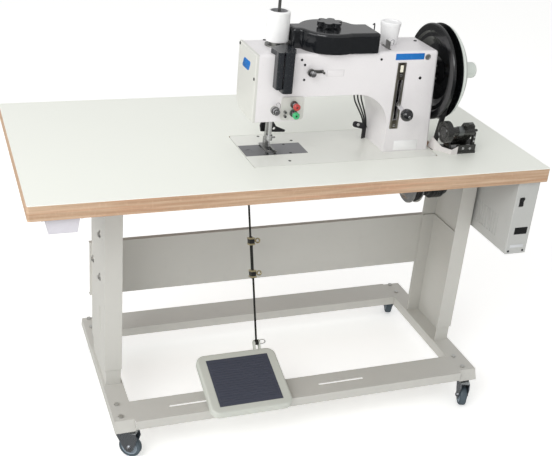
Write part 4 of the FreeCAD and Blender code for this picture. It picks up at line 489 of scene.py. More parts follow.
def add_ring(bm, centre, axis, radius, wire, steps=32, sides=10):
    """A closed ring of round wire."""
    shape = bmesh.new()
    bmesh.ops.spin(shape, geom=wire_section(shape, radius, wire, sides), cent=(0, 0, 0), axis=UPWARD,
                   angle=FULL_TURN, steps=steps, use_merge=True)
    bmesh.ops.remove_doubles(shape, verts=shape.verts, dist=WELD)
    join(bm, shape, Matrix.Translation(centre) @ turning(axis))


def plate_piece(name, outline, thick, place, material, corner, rounding=0.2):
    """A single plate that stays with the machine."""
    bm = bmesh.new()
    add_plate(bm, outline, thick, place, corner, rounding)
    return piece(name, bm, "machine", material)


def turned_piece(name, outline, centre, axis, steps, body, material):
    """A single turned shape."""
    bm = bmesh.new()
    add_turned(bm, outline, centre, axis, steps)
    return piece(name, bm, body, material)


def bent_wire(name, points, radius, body, material):
    """Round wire along a smooth spline that its points, in millimetres, pull into shape."""
    curve = bpy.data.curves.new(name, "CURVE")
    curve.dimensions = "3D"
    curve.bevel_depth = radius * MM
    curve.bevel_resolution = 4
    curve.resolution_u = 10
    curve.use_fill_caps = True
    spline = curve.splines.new("NURBS")
    spline.points.add(len(points) - 1)
    for point, place in zip(spline.points, points):
        point.co = (*at(*place), 1)
    spline.order_u = 3
    spline.use_endpoint_u = True
    made = bpy.data.objects.new(name, curve)
    bpy.context.scene.collection.objects.link(made)
    curve.materials.append(material)
    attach(made, body)
    return made


def colours():
    return bpy.context.scene.sewing_colours


def sizes():
    return bpy.context.scene.sewing_sizes


def stand_paint():
    return painted("stand_paint", colours().stand, roughness=0.46)


def zinc():
    return brushed("zinc", (0.62, 0.62, 0.60), 0.3, EVEN_GRAIN)


def chrome():
    return polished("chrome", (0.52, 0.52, 0.53))


def black_gloss():
    return glossy("black_gloss", colours().gloss_black)


def dark_steel():
    return brushed("dark_steel", (0.045, 0.045, 0.048), 0.36, EVEN_GRAIN)


class SEWING_OT_stage(bpy.types.Operator):
    """Floor, lights and the camera at the photograph's viewing angle"""
    bl_idname = "sewing.stage"
    bl_label = "Stage"

    camera_place = Vector((-0.88279, -2.29342, 1.71343))
    camera_yaw = 0.366
    camera_pitch = math.radians(26.67)
    camera_roll = 0.0822
    focal_pixels = 936.01
    image_width = 552
    image_height = 456
    optical_centre = (260.0, 232.4)
    sensor_width = 36
    floor_half = 60
    lights = (
        ("key_light", (-2.6, -2.5, 3.3), (0, 0, 0.7), 2.2, 70),
        ("fill_light", (-3.2, -0.6, 2.0), (-0.2, 0, 0.9), 2.0, 24),
        ("top_light", (0.2, 0.8, 4.0), (0, 0, 0.7), 2.6, 12),
    )

    def execute(self, context):
        self.add_camera(context)
        self.add_floor(context)
        self.add_sky(context)
        self.add_lights(context)
        return {"FINISHED"}

    def add_camera(self, context):
        yaw, pitch, roll = self.camera_yaw, self.camera_pitch, self.camera_roll
        ahead = Vector((math.sin(yaw) * math.cos(pitch), math.cos(yaw) * math.cos(pitch), -math.sin(pitch)))
        level = Vector((math.cos(yaw), -math.sin(yaw), 0))
        upward = level.cross(ahead)
        right = level * math.cos(roll) + upward * math.sin(roll)
        above = upward * math.cos(roll) - level * math.sin(roll)
        data = bpy.data.cameras.new("photo_camera")
        data.sensor_fit = "HORIZONTAL"
        data.sensor_width = self.sensor_width
        data.lens = self.focal_pixels / self.image_width * self.sensor_width
        data.shift_x = (self.image_width / 2 - self.optical_centre[0]) / self.image_width
        data.shift_y = (self.optical_centre[1] - self.image_height / 2) / self.image_width
        camera = bpy.data.objects.new("photo_camera", data)
        camera.matrix_world = Matrix((
            (right.x, above.x, -ahead.x, self.camera_place.x),
            (right.y, above.y, -ahead.y, self.camera_place.y),
            (right.z, above.z, -ahead.z, self.camera_place.z),
            (0, 0, 0, 1),
        ))
        context.scene.collection.objects.link(camera)
        context.scene.camera = camera

    def add_floor(self, context):
        bm = bmesh.new()
        bmesh.ops.create_grid(bm, x_segments=1, y_segments=1, size=self.floor_half)
        mesh = bpy.data.meshes.new("floor")
        bm.to_mesh(mesh)
        bm.free()
        floor = bpy.data.objects.new("floor", mesh)
        context.scene.collection.objects.link(floor)
        finish = Finish("studio_floor")
        cloud = finish.noise(0.8, 2)
        mesh.materials.append(finish.set({
            "Base Color": finish.mix(cloud, shade(colours().floor, 0.99), shade(colours().floor, 1.0)),
            "Roughness": 0.9,
            "Emission Color": (1.0, 1.0, 1.0, 1.0),
            "Emission Strength": 0.4,
        }))
        floor.visible_glossy = False

    def add_sky(self, context):
        """White light from above that fades below the horizon, so that bright metal keeps its contrast."""
        sky = Finish("studio_sky", "worlds", "Background")
        ahead = sky.node("ShaderNodeTexCoord", {}, {}, "Generated")
        rise = sky.node("ShaderNodeSeparateXYZ", {}, {0: ahead}, "Z")
        fade = sky.mix(rise.between(-0.22, 0.02), (0.3, 0.3, 0.3, 1), (1.0, 1.0, 1.0, 1))
        context.scene.world = sky.set({"Color": fade, "Strength": 0.6})
        context.scene.view_settings.view_transform = "Standard"

    def add_lights(self, context):
        for name, place, aim, size, power in self.lights:
            data = bpy.data.lights.new(name, "AREA")
            data.size = size
            data.energy = power
            light = bpy.data.objects.new(name, data)
            aimed = (Vector(aim) - Vector(place)).to_track_quat("-Z", "Y")
            light.matrix_world = Matrix.Translation(place) @ aimed.to_matrix().to_4x4()
            context.scene.collection.objects.link(light)


class SEWING_OT_table(bpy.types.Operator):
    """Laminate, plywood edge and drawer"""
    bl_idname = "sewing.table"
    bl_label = "Table"

    ply_count = 7
    board_thick = 0.040
    laminate_thick = 0.0018
    warm_ply = linear(206, 152, 120)

    def execute(self, context):
        dress(self.board_finish(), "table_top")
        dress(moulded("drawer_plastic", colours().drawer, 0.38, 0.002), "drawer")
        return {"FINISHED"}

    def board_finish(self):
        """Laminate above, a darker brown underneath, plies on the edge and plain grey on the rails
        underneath.
        """
        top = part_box("table_top")[1].z
        under = top - self.board_thick
        plies_top = top - self.laminate_thick
        finish = Finish("laminated_board")
        z = finish.axis("z")
        facing_up = finish.node("ShaderNodeSeparateXYZ", {},
                                {0: finish.node("ShaderNodeNewGeometry", {}, {}, "Normal")}, "Z")
        depth = (plies_top - z) * (self.ply_count / (plies_top - under))
        layer = (depth * 0.5).fraction() > 0.5
        seam = abs(depth.fraction() - 0.5).between(0.42, 0.5)
        streaks = finish.noise(9, 5, (0.4, 0.4, 15)).between(0.36, 0.64)
        grain = finish.noise(14, 6, (1.2, 1.2, 60))
        pores = finish.noise(160, 3, (1, 1, 0.5))
        warm = finish.noise(6, 3, (0.5, 0.5, 13)).between(0.5, 0.68)
        light, dark = colours().ply_light, colours().ply_dark
        wood = finish.mix(streaks * 0.75 + layer * 0.25, shade(light, 1.0), shade(dark, 1.0))
        wood = finish.mix(warm * 0.5, wood, shade(self.warm_ply, 1.0))
        wood = finish.mix(grain.between(0.4, 0.75) * 0.4, wood, shade(dark, 0.62))
        wood = finish.mix(pores.between(0.5, 0.8) * 0.2, wood, shade(light, 1.25))
        wood = finish.mix(seam * 0.22, wood, shade(dark, 0.45))
        speck = finish.noise(330, 3)
        cloud = finish.noise(3, 3)
        sheet = colours().laminate
        plain = finish.mix(cloud, shade(sheet, 0.98), shade(sheet, 1.0))
        plain = finish.mix(speck.between(0.55, 0.8) * 0.12, plain, shade(sheet, 0.86))
        on_edge = (abs(facing_up) < 0.5) * (z < plies_top) * (z > under - 0.0002)
        below = facing_up < -0.5
        base = finish.mix(below, plain, shade(dark, 0.55))
        base = finish.mix(on_edge, base, wood)
        rail = z < under - 0.0005
        base = finish.mix(rail, base, (0.55, 0.55, 0.54, 1))
        height = speck * (1 - on_edge) * 0.3 + grain * on_edge
        return finish.set({
            "Base Color": base,
            "Roughness": 0.36 + on_edge * 0.3 + (speck - 0.5) * 0.1,
            "Normal": finish.bump(height, 0.00008),
        })


class SEWING_OT_stand(bpy.types.Operator):
    """Painted legs, feet, beams and panel, with washers under the leg bolts"""
    bl_idname = "sewing.stand"
    bl_label = "Stand"

    web_inset = 6
    hole_share = 0.55
    bolt_places = ((-84, 562), (20, 432), (-84, 432))

    def execute(self, context):
        dress(stand_paint(), "legs", "feet", "cross_beams", "cross_panel")
        dress(zinc(), "stand_bolts")
        self.add_washers()
        return {"FINISHED"}

    def add_washers(self):
        """Plain washers round the leg bolts on both webs."""
        bm = bmesh.new()
        low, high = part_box("legs")
        outer = sizes().washer_radius / MM
        hole = outer * self.hole_share
        ring = [(0, hole), (0, outer - 0.4), (0.7, outer), (1.4, outer - 0.5), (1.4, hole), (0, hole)]
        for side, x in ((-1, low.x / MM + self.web_inset), (1, high.x / MM - self.web_inset)):
            for y, z in self.bolt_places:
                add_turned(bm, ring, at(x, y, z), (side, 0, 0), 32)
        piece("leg_washers", bm, "machine", zinc())


class SEWING_OT_casters(bpy.types.Operator):
    """Forks in plated steel, tyres, hub discs and axle nuts"""
    bl_idname = "sewing.casters"
    bl_label = "Casters"

    tyre_half = 9.8
    hub_bore = 4.2
    turned_steps = 64
    nut_outline = ((0, 0.0), (0, 6.8), (3, 6.8), (3.6, 6.0), (3.6, 3.6), (5.5, 3.4), (6, 0.0))
    nut_out = 14
    nut_sides = {-1: 24, 1: 6}

    def execute(self, context):
        fork_finish = brushed("plated_fork", (0.5, 0.53, 0.56), 0.28, (12, 12, 12))
        tyre = rubbery("caster_tyre", colours().tyre, 0.5)
        hub = moulded("caster_hub", linear(150, 162, 172), 0.35)
        for joint in frame["joints"]:
            if not joint["name"].startswith("caster_roll_"):
                continue
            where = joint["name"].replace("caster_roll_", "")
            axis = Vector(joint["axis"]).normalized()
            centre = Vector(joint["pos_m"])
            self.add_wheel(where, centre, axis, tyre, hub)
            dress(fork_finish, "caster_fork_" + where)
            dress(tyre, "caster_wheel_" + where)
        return {"FINISHED"}

    def add_wheel(self, where, centre, axis, tyre_finish, hub_finish):
        radius = centre.z / MM
        half = self.tyre_half
        body = "caster_wheel_" + where
        crown = both_ways([(half - 4, radius - 0.2), (half - 1.2, radius - 1.5), (half, radius - 4),
                           (half, radius - 8), (half - 3, radius - 9.5)])
        tyre = turned_piece("tyre_" + where, crown, centre, axis, self.turned_steps, body,
                            tyre_finish)
        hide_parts(body)
        disc = both_ways([(8.5, radius - 8.5), (8.5, radius - 10.5), (5.5, radius - 13), (5.5, 12),
                          (6.5, 9.5), (11, 8.5), (11, self.hub_bore)])
        turned_piece("hub_" + where, disc, centre, axis, self.turned_steps, body, hub_finish)
        bm = bmesh.new()
        for side, sides in self.nut_sides.items():
            add_turned(bm, self.nut_outline, centre + axis * side * self.nut_out * MM, axis * side, sides)
        piece("axle_nuts_" + where, bm, "caster_fork_" + where, chrome())


class SEWING_OT_treadle(bpy.types.Operator):
    """Treadle, its mat, the rod with thumb screws and the sensor under the table"""
    bl_idname = "sewing.treadle"
    bl_label = "Treadle"

    rod_lean = math.radians(20.5)
    clamp_runs = (203, 298)
    clamp_back = 4.5
    sleeve_size = (17, 26, 5)
    sleeve_levels = (-8.5, 8.5)
    stem_outline = ((0, 0), (0, 3.2), (8, 3.2), (8, 0))
    stem_out = 6.5
    thumb_out = 20
    foot_ring_place = (17, -2, 2)
    foot_ring_axis = (0.2, 1, 0.3)

    def execute(self, context):
        dress(painted("treadle_paint", linear(205, 208, 200), 0.44, edge=0.002), "pedal_frame")
        dress(rubbery("treadle_mat", colours().mat, 0.62), "pedal_mat")
        dress(stand_paint(), "pedal_bracket")
        dress(brushed("rod_steel", (0.055, 0.055, 0.052), 0.42, (40, 40, 2)), "treadle_rod")
        dress(moulded("sensor_case", (0.035, 0.035, 0.038), 0.5), "speed_unit")
        dress(zinc(), "speed_lever")
        self.add_clamps()
        return {"FINISHED"}

    def add_clamps(self):
        """Brass sleeves and thumb screws on the two clamps, and the retaining ring at the rod's foot."""
        foot = next(Vector(joint["pos_m"]) for joint in frame["joints"] if joint["name"] == "rod_swing")
        lean = Matrix.Rotation(-self.rod_lean, 4, "X")
        brass = brushed("clamp_brass", (0.58, 0.50, 0.30), 0.3, EVEN_GRAIN)
        bm = bmesh.new()
        for run in self.clamp_runs:
            middle = foot + lean @ at(0, self.clamp_back, run)
            place = Matrix.Translation(middle) @ lean
            for level in self.sleeve_levels:
                add_block(bm, self.sleeve_size, place @ Matrix.Translation(at(0, 0, level)), rounding=1.5)
            add_turned(bm, self.stem_outline, middle + at(self.stem_out, 0, 0), TO_RIGHT, 24)
            add_ring(bm, middle + at(self.thumb_out, 0, 0), lean @ Vector((0, 1, 0)), radius=6.2, wire=2.0)
        piece("clamp_screws", bm, "treadle_rod", brass)
        bm = bmesh.new()
        add_ring(bm, foot + at(*self.foot_ring_place), self.foot_ring_axis, radius=9, wire=1.3)
        piece("foot_ring", bm, "treadle_rod", zinc())


class SEWING_OT_drive(bpy.types.Operator):
    """Motor, belt, handwheel and the shafts inside the head"""
    bl_idname = "sewing.drive"
    bl_label = "Drive"

    hub_head = (7, 1.8)
    hub_sink = 0.3
    wheel_head = (3.5, 2)
    wheel_screw_count = 4
    wheel_screw_circle = 24
    wheel_screw_depth = 11.9
    first_screw = 0.4

    def execute(self, context):
        dress(painted("motor_paint", linear(52, 54, 53), 0.4), "motor")
        dress(brushed("turned_aluminium", (0.72, 0.72, 0.71), 0.3, (2, 40, 40)), "motor_pulley")
        dress(rubbery("belt_rubber", (0.02, 0.02, 0.021), 0.6), "drive_belt")
        dress(glossy("wheel_enamel", shade(colours().gloss_black, 0.4), 0.2), "drive_wheel")
        dress(painted("disc_enamel", colours().disc, 0.3, coat=0.3), "handwheel")
        ground = brushed("ground_steel", (0.6, 0.6, 0.62), 0.28, (4, 50, 50))
        dress(ground, "main_shaft", "upright_shaft", "hook_shaft")
        dress(ground, "needle_bar_frame", "pattern_cam", "feed_dog")
        dress(brushed("bronze", (0.55, 0.36, 0.16), 0.36, EVEN_GRAIN), "shaft_bushes")
        self.add_wheel_trim()
        return {"FINISHED"}

    def add_wheel_trim(self):
        """Screws that hold the disc to the wheel, and the end screw of the hub."""
        low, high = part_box("handwheel")
        middle = (low + high) / 2 / MM
        bm = bmesh.new()
        add_screw(bm, at(high.x / MM - self.hub_sink, middle.y, middle.z), TO_RIGHT, self.hub_head)
        piece("hub_screw", bm, "main_drive", zinc())
        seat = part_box("drive_wheel")[0].x / MM + self.wheel_screw_depth
        bm = bmesh.new()
        for index in range(self.wheel_screw_count):
            angle = FULL_TURN * (index + self.first_screw) / self.wheel_screw_count
            y = middle.y + self.wheel_screw_circle * math.cos(angle)
            z = middle.z + self.wheel_screw_circle * math.sin(angle)
            add_screw(bm, at(seat, y, z), TO_LEFT, self.wheel_head)
        piece("wheel_screws", bm, "main_drive", zinc())


class SEWING_OT_head(bpy.types.Operator):
    """Enamelled castings, plates, covers and controls of the head"""
    bl_idname = "sewing.head"
    bl_label = "Head"

    front_holes = ((11.5, 1046.7), (21.1, 1033.4), (22.4, 993.8), (235.4, 1042.4))
    front_head = (3.2, 0.9)
    plug_place = (357, 988.5)
    plug_head = (4.0, 1.2)
    end_screws = ((-24, 1056), (-150, 998))
    end_head = (4.2, 1.4)
    top_screws = ((-45, -24, 0.6), (380, -60, 0.2), (240, -30, 0.2))
    top_head = (4.5, 1.6)
    bed_screws = ((52, -37), (-4, -176), (-31, 6))
    bed_head = (4.0, 0.8)
    plate_screws = ((18, -123), (20, -61), (-48, -123), (-48, -61))
    plate_head = (3.6, 0.8)
    deck_sink = 0.3
    panel_sheet = 3.1

    column_badge_place = (318.5, 1048)
    end_badge_outline = ((-30, -13), (22, -13), (34, 13), (-18, 13))
    end_badge_place = (-82, 1018.5)
    emblem_outline = ((0, 0), (0, 8), (0.8, 8), (1.2, 7.2), (1.2, 5.6), (0.7, 5.2), (0.7, 0))
    emblem_place = (371, 1046)
    bare_label_size = (72, 28)
    bare_label_place = (343, 797)
    faint_label_size = (49, 18)
    faint_label_place = (108.5, 1009)

    spring_wire = 0.6
    nut_spring_out = 12.0
    nut_spring_radius = 5.2
    upper_post = (37, 1015)
    upper_spring_out = 14.5
    upper_spring_radius = 5.5
    upper_cap_out = 21.5
    upper_cap_outline = ((0, 0), (0, 7.5), (2.5, 8.5), (5, 7), (6, 4), (6, 0))
    check_unit = (-53, 917)
    check_spring_out = 12.6
    check_spring_radius = 8.6
    check_head = (6.4, 2.2)
    check_head_out = 24
    check_wire_out = 15
    check_wire_route = ((-45, 921), (-40, 932), (-46, 941), (-54, 939), (-52, 933))

    window_size = (9, 19)
    window_thick = 0.8
    window_level = 1016
    bezel_size = (1.6, 1.6, 114)
    bezel_aside = 6.2
    bezel_level = 928.5
    eyelet_outline = ((0, 2.0), (0, 4.2), (0.9, 4.0), (1.1, 3.2), (0.9, 2.2), (0, 2.0))
    eyelet_levels = (998, 857)
    ball_plug_outline = ((0, 0), (0, 3.4), (0.9, 3.0), (1.3, 1.6), (1.3, 0))
    ball_plug_rise = 17
    ball_plug_sink = 0.3

    clip_place = (246, -50, 821)
    clip_out = (-0.15, -1, 0.45)
    clip_up = (0.2, 0, 1)
    clip_size = (34, 17)
    clip_thick = 3
    clip_ring_place = (263, -48, 817)
    clip_ring_axis = (0.3, 0, 1)
    clip_head = (4.2, 1.8)
    clip_screw_aside = -2
    rod_route = ((262, -40, 0), (262, -40, 38), (258, -46, 48), (248, -58, 46))
    hook_route = ((266, -132, 21), (272, -134, 27), (280, -130, 22), (282, -122, 10))

    def execute(self, context):
        casting = {"peel": 0.00003, "worn": 0.1, "edge": 0.002}
        dress(painted("head_enamel", colours().enamel, 0.3, coat=0.25, **casting), "arm_casting")
        dress(painted("bed_enamel", colours().bed, 0.32, coat=0.2, **casting), "machine_bed")
        dress(painted("face_enamel", colours().face, 0.34, worn=0.1), "face_plate")
        plate = brushed("plate_steel", (0.30, 0.30, 0.31), 0.36, (2, 90, 90))
        dress(plate, "needle_plate", "bobbin_cover")
        dress(chrome(), "bobbin_case", "needle_bar", "take_up_lever")
        upright_grain = (30, 30, 3)
        dress(brushed("presser_steel", (0.42, 0.42, 0.41), 0.3, upright_grain), "presser_bar")
        dress(brushed("guide_steel", (0.26, 0.26, 0.25), 0.3, upright_grain), "thread_guides")
        dress(dark_steel(), "lifter_lever")
        dress(black_gloss(), "cam_cover", "cover_knob")
        dress(glossy("guard_black", shade(colours().gloss_black, 2.4), 0.22), "take_up_guard")
        dress(self.lever_finish(), "stitch_lever")
        dress(moulded("red_nut", colours().red, 0.32), "red_tension_nut")
        dress(moulded("green_nut", colours().green, 0.32), "green_tension_nut")
        dress(self.scale_finish(), "scale_plate")
        self.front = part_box("arm_casting")[0].y / MM
        self.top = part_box("arm_casting")[1].z / MM
        self.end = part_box("face_plate")[0].x / MM
        self.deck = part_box("machine_bed")[1].z / MM
        dress(self.tension_finish(), "tension_panel")
        self.add_badges()
        self.add_screws()
        self.add_tension_trim()
        self.add_scale_trim()
        self.add_fittings()
        return {"FINISHED"}

    def lever_finish(self):
        """A gloss black ball on a bright stem."""
        low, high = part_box("stitch_lever")
        radius = (high.x - low.x) / 2
        ball = (low.x + radius, low.y + radius, low.z + radius)
        finish = Finish("ball_lever")
        apart = finish.node("ShaderNodeVectorMath", {"operation": "DISTANCE"},
                            {0: finish.coordinates, 1: ball}, "Value")
        stem = apart > radius + 0.0004
        smears = finish.noise(90, 3)
        return finish.set({
            "Base Color": finish.mix(stem, shade(colours().gloss_black, 0.8), (0.72, 0.72, 0.74, 1)),
            "Metallic": stem,
            "Roughness": 0.1 + stem * 0.08 + smears * 0.06,
            "Coat Weight": (1 - stem) * 0.4,
        })

    def tension_finish(self):
        """Enamelled sheet with plated discs, posts and check unit in front of it."""
        finish = Finish("tension_panel")
        plated = finish.axis("y") < (self.front - self.panel_sheet) * MM
        smears = finish.noise(90, 3, (1, 1, 0.4))
        sheet = finish.mix(smears, shade(colours().face, 0.95), shade(colours().face, 1.06))
        plating = finish.mix(smears.between(0.4, 0.7), (0.46, 0.46, 0.46, 1), (0.16, 0.16, 0.16, 1))
        return finish.set({
            "Base Color": finish.mix(plated, sheet, plating),
            "Metallic": plated,
            "Roughness": 0.34 - plated * 0.16 + smears * 0.08,
        })

    def scale_finish(self):
        """Dull nickel, darker and browner towards the slot."""
        low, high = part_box("scale_plate")
        middle = (low.x + high.x) / 2
        finish = Finish("dull_nickel")
        lines = finish.noise(30, 4, (60, 60, 3))
        aside = abs(finish.axis("x") - middle)
        border_wobble = finish.noise(70, 3, (1, 1, 0.4))
        near = 1 - (aside + (border_wobble - 0.5) * 0.006).between(0.003, 0.011)
        base = finish.mix(lines, (0.24, 0.225, 0.18, 1), (0.36, 0.34, 0.29, 1))
        base = finish.mix(near * 0.75, base, (0.075, 0.062, 0.045, 1))
        return finish.set({
            "Base Color": base,
            "Metallic": 1.0,
            "Roughness": 0.34 + (lines - 0.5) * 0.2,
            "Normal": finish.bump(lines, 0.00003),
        })

    def outlined(self, name, colour, place, size):
        """A clear sticker of which only the rim shows, with a painted shade along its edge."""
        x, z = place
        width, height = size
        finish = Finish(name)
        across = abs(finish.axis("x") - x * MM) / (width * MM / 2)
        upward = abs(finish.axis("z") - z * MM) / (height * MM / 2)
        # painted shade: the rim is darkened to stand in for the shade along the clear sticker's edge
        rim = across.math("MAXIMUM", across, upward).between(0.88, 0.97)
        flow = finish.noise(9, 3)
        plain = finish.mix(flow, shade(colour, 0.96), shade(colour, 1.0))
        return finish.set({
            "Base Color": finish.mix(rim * 0.3, plain, shade(colour, 0.5)),
            "Roughness": 0.3 + flow * 0.06,
        })

    def on_front(self, place):
        """The matrix that lays a flat shape on the front of the arm."""
        x, z = place
        return facing(at(x, self.front, z), TO_FRONT)

    def before_front(self, place, out):
        """A place that stands out from the front of the arm."""
        x, z = place
        return at(x, self.front - out, z)

    def add_badges(self):
        """Bare plates where the head carries its badges and stickers."""
        thick = sizes().plate_thick / MM
        blue = painted("badge_blue", colours().badge, 0.25, worn=0.05, edge=0.0003)
        column = rectangle(sizes().badge_width / MM, sizes().badge_height / MM)
        plate_piece("column_badge", column, thick, self.on_front(self.column_badge_place),
                    blue, corner=1.0)
        end = facing(at(self.end, *self.end_badge_place), TO_LEFT)
        plate_piece("end_badge", self.end_badge_outline, thick, end, blue, corner=7)
        nickel = brushed("emblem_nickel", (0.55, 0.56, 0.56), 0.3, EVEN_GRAIN)
        turned_piece("round_emblem", self.emblem_outline, self.before_front(self.emblem_place, 0),
                     TO_FRONT, 40, "machine", nickel)
        white = moulded("label_white", linear(248, 248, 248), 0.4)
        plate_piece("bare_label", rectangle(*self.bare_label_size), thick / 2,
                    self.on_front(self.bare_label_place), white, corner=1.5, rounding=0.1)
        clear = self.outlined("label_clear", colours().enamel, self.faint_label_place, self.faint_label_size)
        plate_piece("faint_label", rectangle(*self.faint_label_size), thick / 4,
                    self.on_front(self.faint_label_place), clear, corner=1.0, rounding=0.05)

    def add_screws(self):
        """Screws and plugged holes of the castings."""
        bm = bmesh.new()
        for place in self.front_holes:
            add_screw(bm, self.before_front(place, 0), TO_FRONT, self.front_head)
        add_screw(bm, self.before_front(self.plug_place, 0), TO_FRONT, self.plug_head)
        for y, z in self.end_screws:
            add_screw(bm, at(self.end, y, z), TO_LEFT, self.end_head)
        for x, y, turn in self.top_screws:
            add_screw(bm, at(x, y, self.top), UPWARD, self.top_head, turn)
        piece("dark_screws", bm, "machine", dark_steel())
        bm = bmesh.new()
        for x, y in self.bed_screws:
            add_screw(bm, at(x, y, self.deck - self.deck_sink), UPWARD, self.bed_head)
        for x, y in self.plate_screws:
            add_screw(bm, at(x, y, self.deck - self.deck_sink), UPWARD, self.plate_head, turn=1.1)
        piece("bed_screws", bm, "machine", dark_steel())

    def add_tension_trim(self):
        """Springs behind the nuts, spring and cap of the upper post, and the check unit's small parts."""
        wire = self.spring_wire
        bm = bmesh.new()
        for name in ("red_tension_nut", "green_tension_nut"):
            low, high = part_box(name)
            middle = (low + high) / 2 / MM
            start = self.before_front((middle.x, middle.z), self.nut_spring_out)
            add_coil(bm, start, TO_FRONT, self.nut_spring_radius, wire, pitch=2.0, turns=4)
        start = self.before_front(self.upper_post, self.upper_spring_out)
        add_coil(bm, start, TO_FRONT, self.upper_spring_radius, wire, pitch=1.8, turns=4)
        start = self.before_front(self.check_unit, self.check_spring_out)
        add_coil(bm, start, TO_FRONT, self.check_spring_radius, wire, pitch=1.6, turns=6)
        piece("tension_springs", bm, "machine", chrome())
        bm = bmesh.new()
        seat = self.before_front(self.check_unit, self.check_head_out)
        add_screw(bm, seat, TO_FRONT, self.check_head, turn=0.9)
        seat = self.before_front(self.upper_post, self.upper_cap_out)
        add_turned(bm, self.upper_cap_outline, seat, TO_FRONT, 24)
        piece("tension_caps", bm, "machine", chrome())
        route = [(x, self.front - self.check_wire_out, z) for x, z in self.check_wire_route]
        bent_wire("check_wire", route, wire, "machine", chrome())

    def add_scale_trim(self):
        """Cream window, slot bezel and eyelets of the stitch scale, and the plug in the lever's ball."""
        low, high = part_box("scale_plate")
        x = (low.x + high.x) / 2 / MM
        face = low.y / MM
        cream = moulded("window_cream", linear(240, 236, 218), 0.3)
        plate_piece("scale_window", rectangle(*self.window_size), self.window_thick,
                    facing(at(x, face, self.window_level), TO_FRONT), cream, corner=1.5)
        bm = bmesh.new()
        for side in (-1, 1):
            place = at(x + side * self.bezel_aside, face, self.bezel_level)
            add_block(bm, self.bezel_size, Matrix.Translation(place), rounding=0.5)
        for z in self.eyelet_levels:
            add_turned(bm, self.eyelet_outline, at(x, face, z), TO_FRONT, 28)
        piece("scale_bezel", bm, "machine", chrome())
        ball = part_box("stitch_lever")[0] / MM
        plug = at(x, ball.y + self.ball_plug_sink, ball.z + self.ball_plug_rise)
        turned_piece("ball_plug", self.ball_plug_outline, plug, TO_FRONT, 24, "stitch_lever",
                     chrome())

    def add_fittings(self):
        """Cable clip beside the column and the wire guides on the arm's top."""
        lean = facing(at(*self.clip_place), self.clip_out, self.clip_up)
        bm = bmesh.new()
        add_plate(bm, rectangle(*self.clip_size), self.clip_thick, lean, corner=7, rounding=0.8)
        add_ring(bm, at(*self.clip_ring_place), self.clip_ring_axis, radius=8.5, wire=2.4)
        piece("cable_clip", bm, "machine", dark_steel())
        bm = bmesh.new()
        seat = lean @ at(self.clip_screw_aside, 0, self.clip_thick)
        add_screw(bm, seat, lean.to_3x3() @ Vector(UPWARD), self.clip_head)
        piece("clip_screw", bm, "machine", zinc())
        for name, route, radius, slot, material in (
                ("guide_rod", self.rod_route, 1.6, "dark_steel", dark_steel()),
                ("guide_hook", self.hook_route, 1.1, "bright_chrome", chrome())):
            points = [(x, y, self.top + rise) for x, y, rise in route]
            bent_wire(name, points, radius, "machine", material)


class SEWING_OT_thread(bpy.types.Operator):
    """Wound thread on its spool and the white cup on the arm"""
    bl_idname = "sewing.thread"
    bl_label = "Thread supply"

    bore = 4.4
    thread_wire = 0.5
    pack_inset = 0.9
    tube_inset = 7.5
    turned_steps = 64

    def execute(self, context):
        self.add_spool()
        dress(moulded("white_cup", linear(248, 248, 248), 0.28), "oil_cup")
        return {"FINISHED"}

    def add_spool(self):
        """A tube with thread laid round it turn by turn."""
        low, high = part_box("thread_spool")
        middle = (low + high) / 2 / MM
        radius = (high.x - low.x) / 2 / MM
        tall = (high.z - low.z) / MM
        start = at(middle.x, middle.y, low.z / MM)
        pack = radius - self.pack_inset
        wound = [(0.6, self.bore + 8), (0.6, pack - 1), (2, pack), (tall - 2, pack), (tall - 0.6, pack - 2),
                 (tall - 0.6, pack - 6), (0.6, self.bore + 8)]
        bm = bmesh.new()
        add_turned(bm, wound, start, UPWARD, self.turned_steps)
        wire = self.thread_wire
        turns = int((tall - 4) / (2 * wire))
        add_coil(bm, start + at(0, 0, 2), UPWARD, radius - wire - 0.1, wire, 2 * wire, turns, 40, 5)
        spool = piece("wound_thread", bm, "thread_spool", self.thread_finish())
        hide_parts("thread_spool")
        tube = radius - self.tube_inset
        hollow = [(0, self.bore), (0, tube), (tall - 1, tube), (tall, tube - 1), (tall - 0.5, tube - 2.2),
                  (tall - 9, tube - 2.6), (tall - 9, self.bore), (0, self.bore)]
        card = moulded("tube_card", linear(150, 150, 152), 0.5)
        turned_piece("spool_tube", hollow, start, UPWARD, self.turned_steps, "thread_spool",
                     card)

    def thread_finish(self):
        """Closely wound white thread."""
        finish = Finish("wound_thread")
        laid = finish.noise(40, 4, (1, 1, 26))
        fuzz = finish.noise(1400, 3)
        base = finish.mix(laid, (0.88, 0.88, 0.88, 1), (0.97, 0.97, 0.96, 1))
        return finish.set({
            "Base Color": base,
            "Roughness": 0.72 + (fuzz - 0.5) * 0.2,
            "Normal": finish.bump(fuzz, 0.00012),
        })


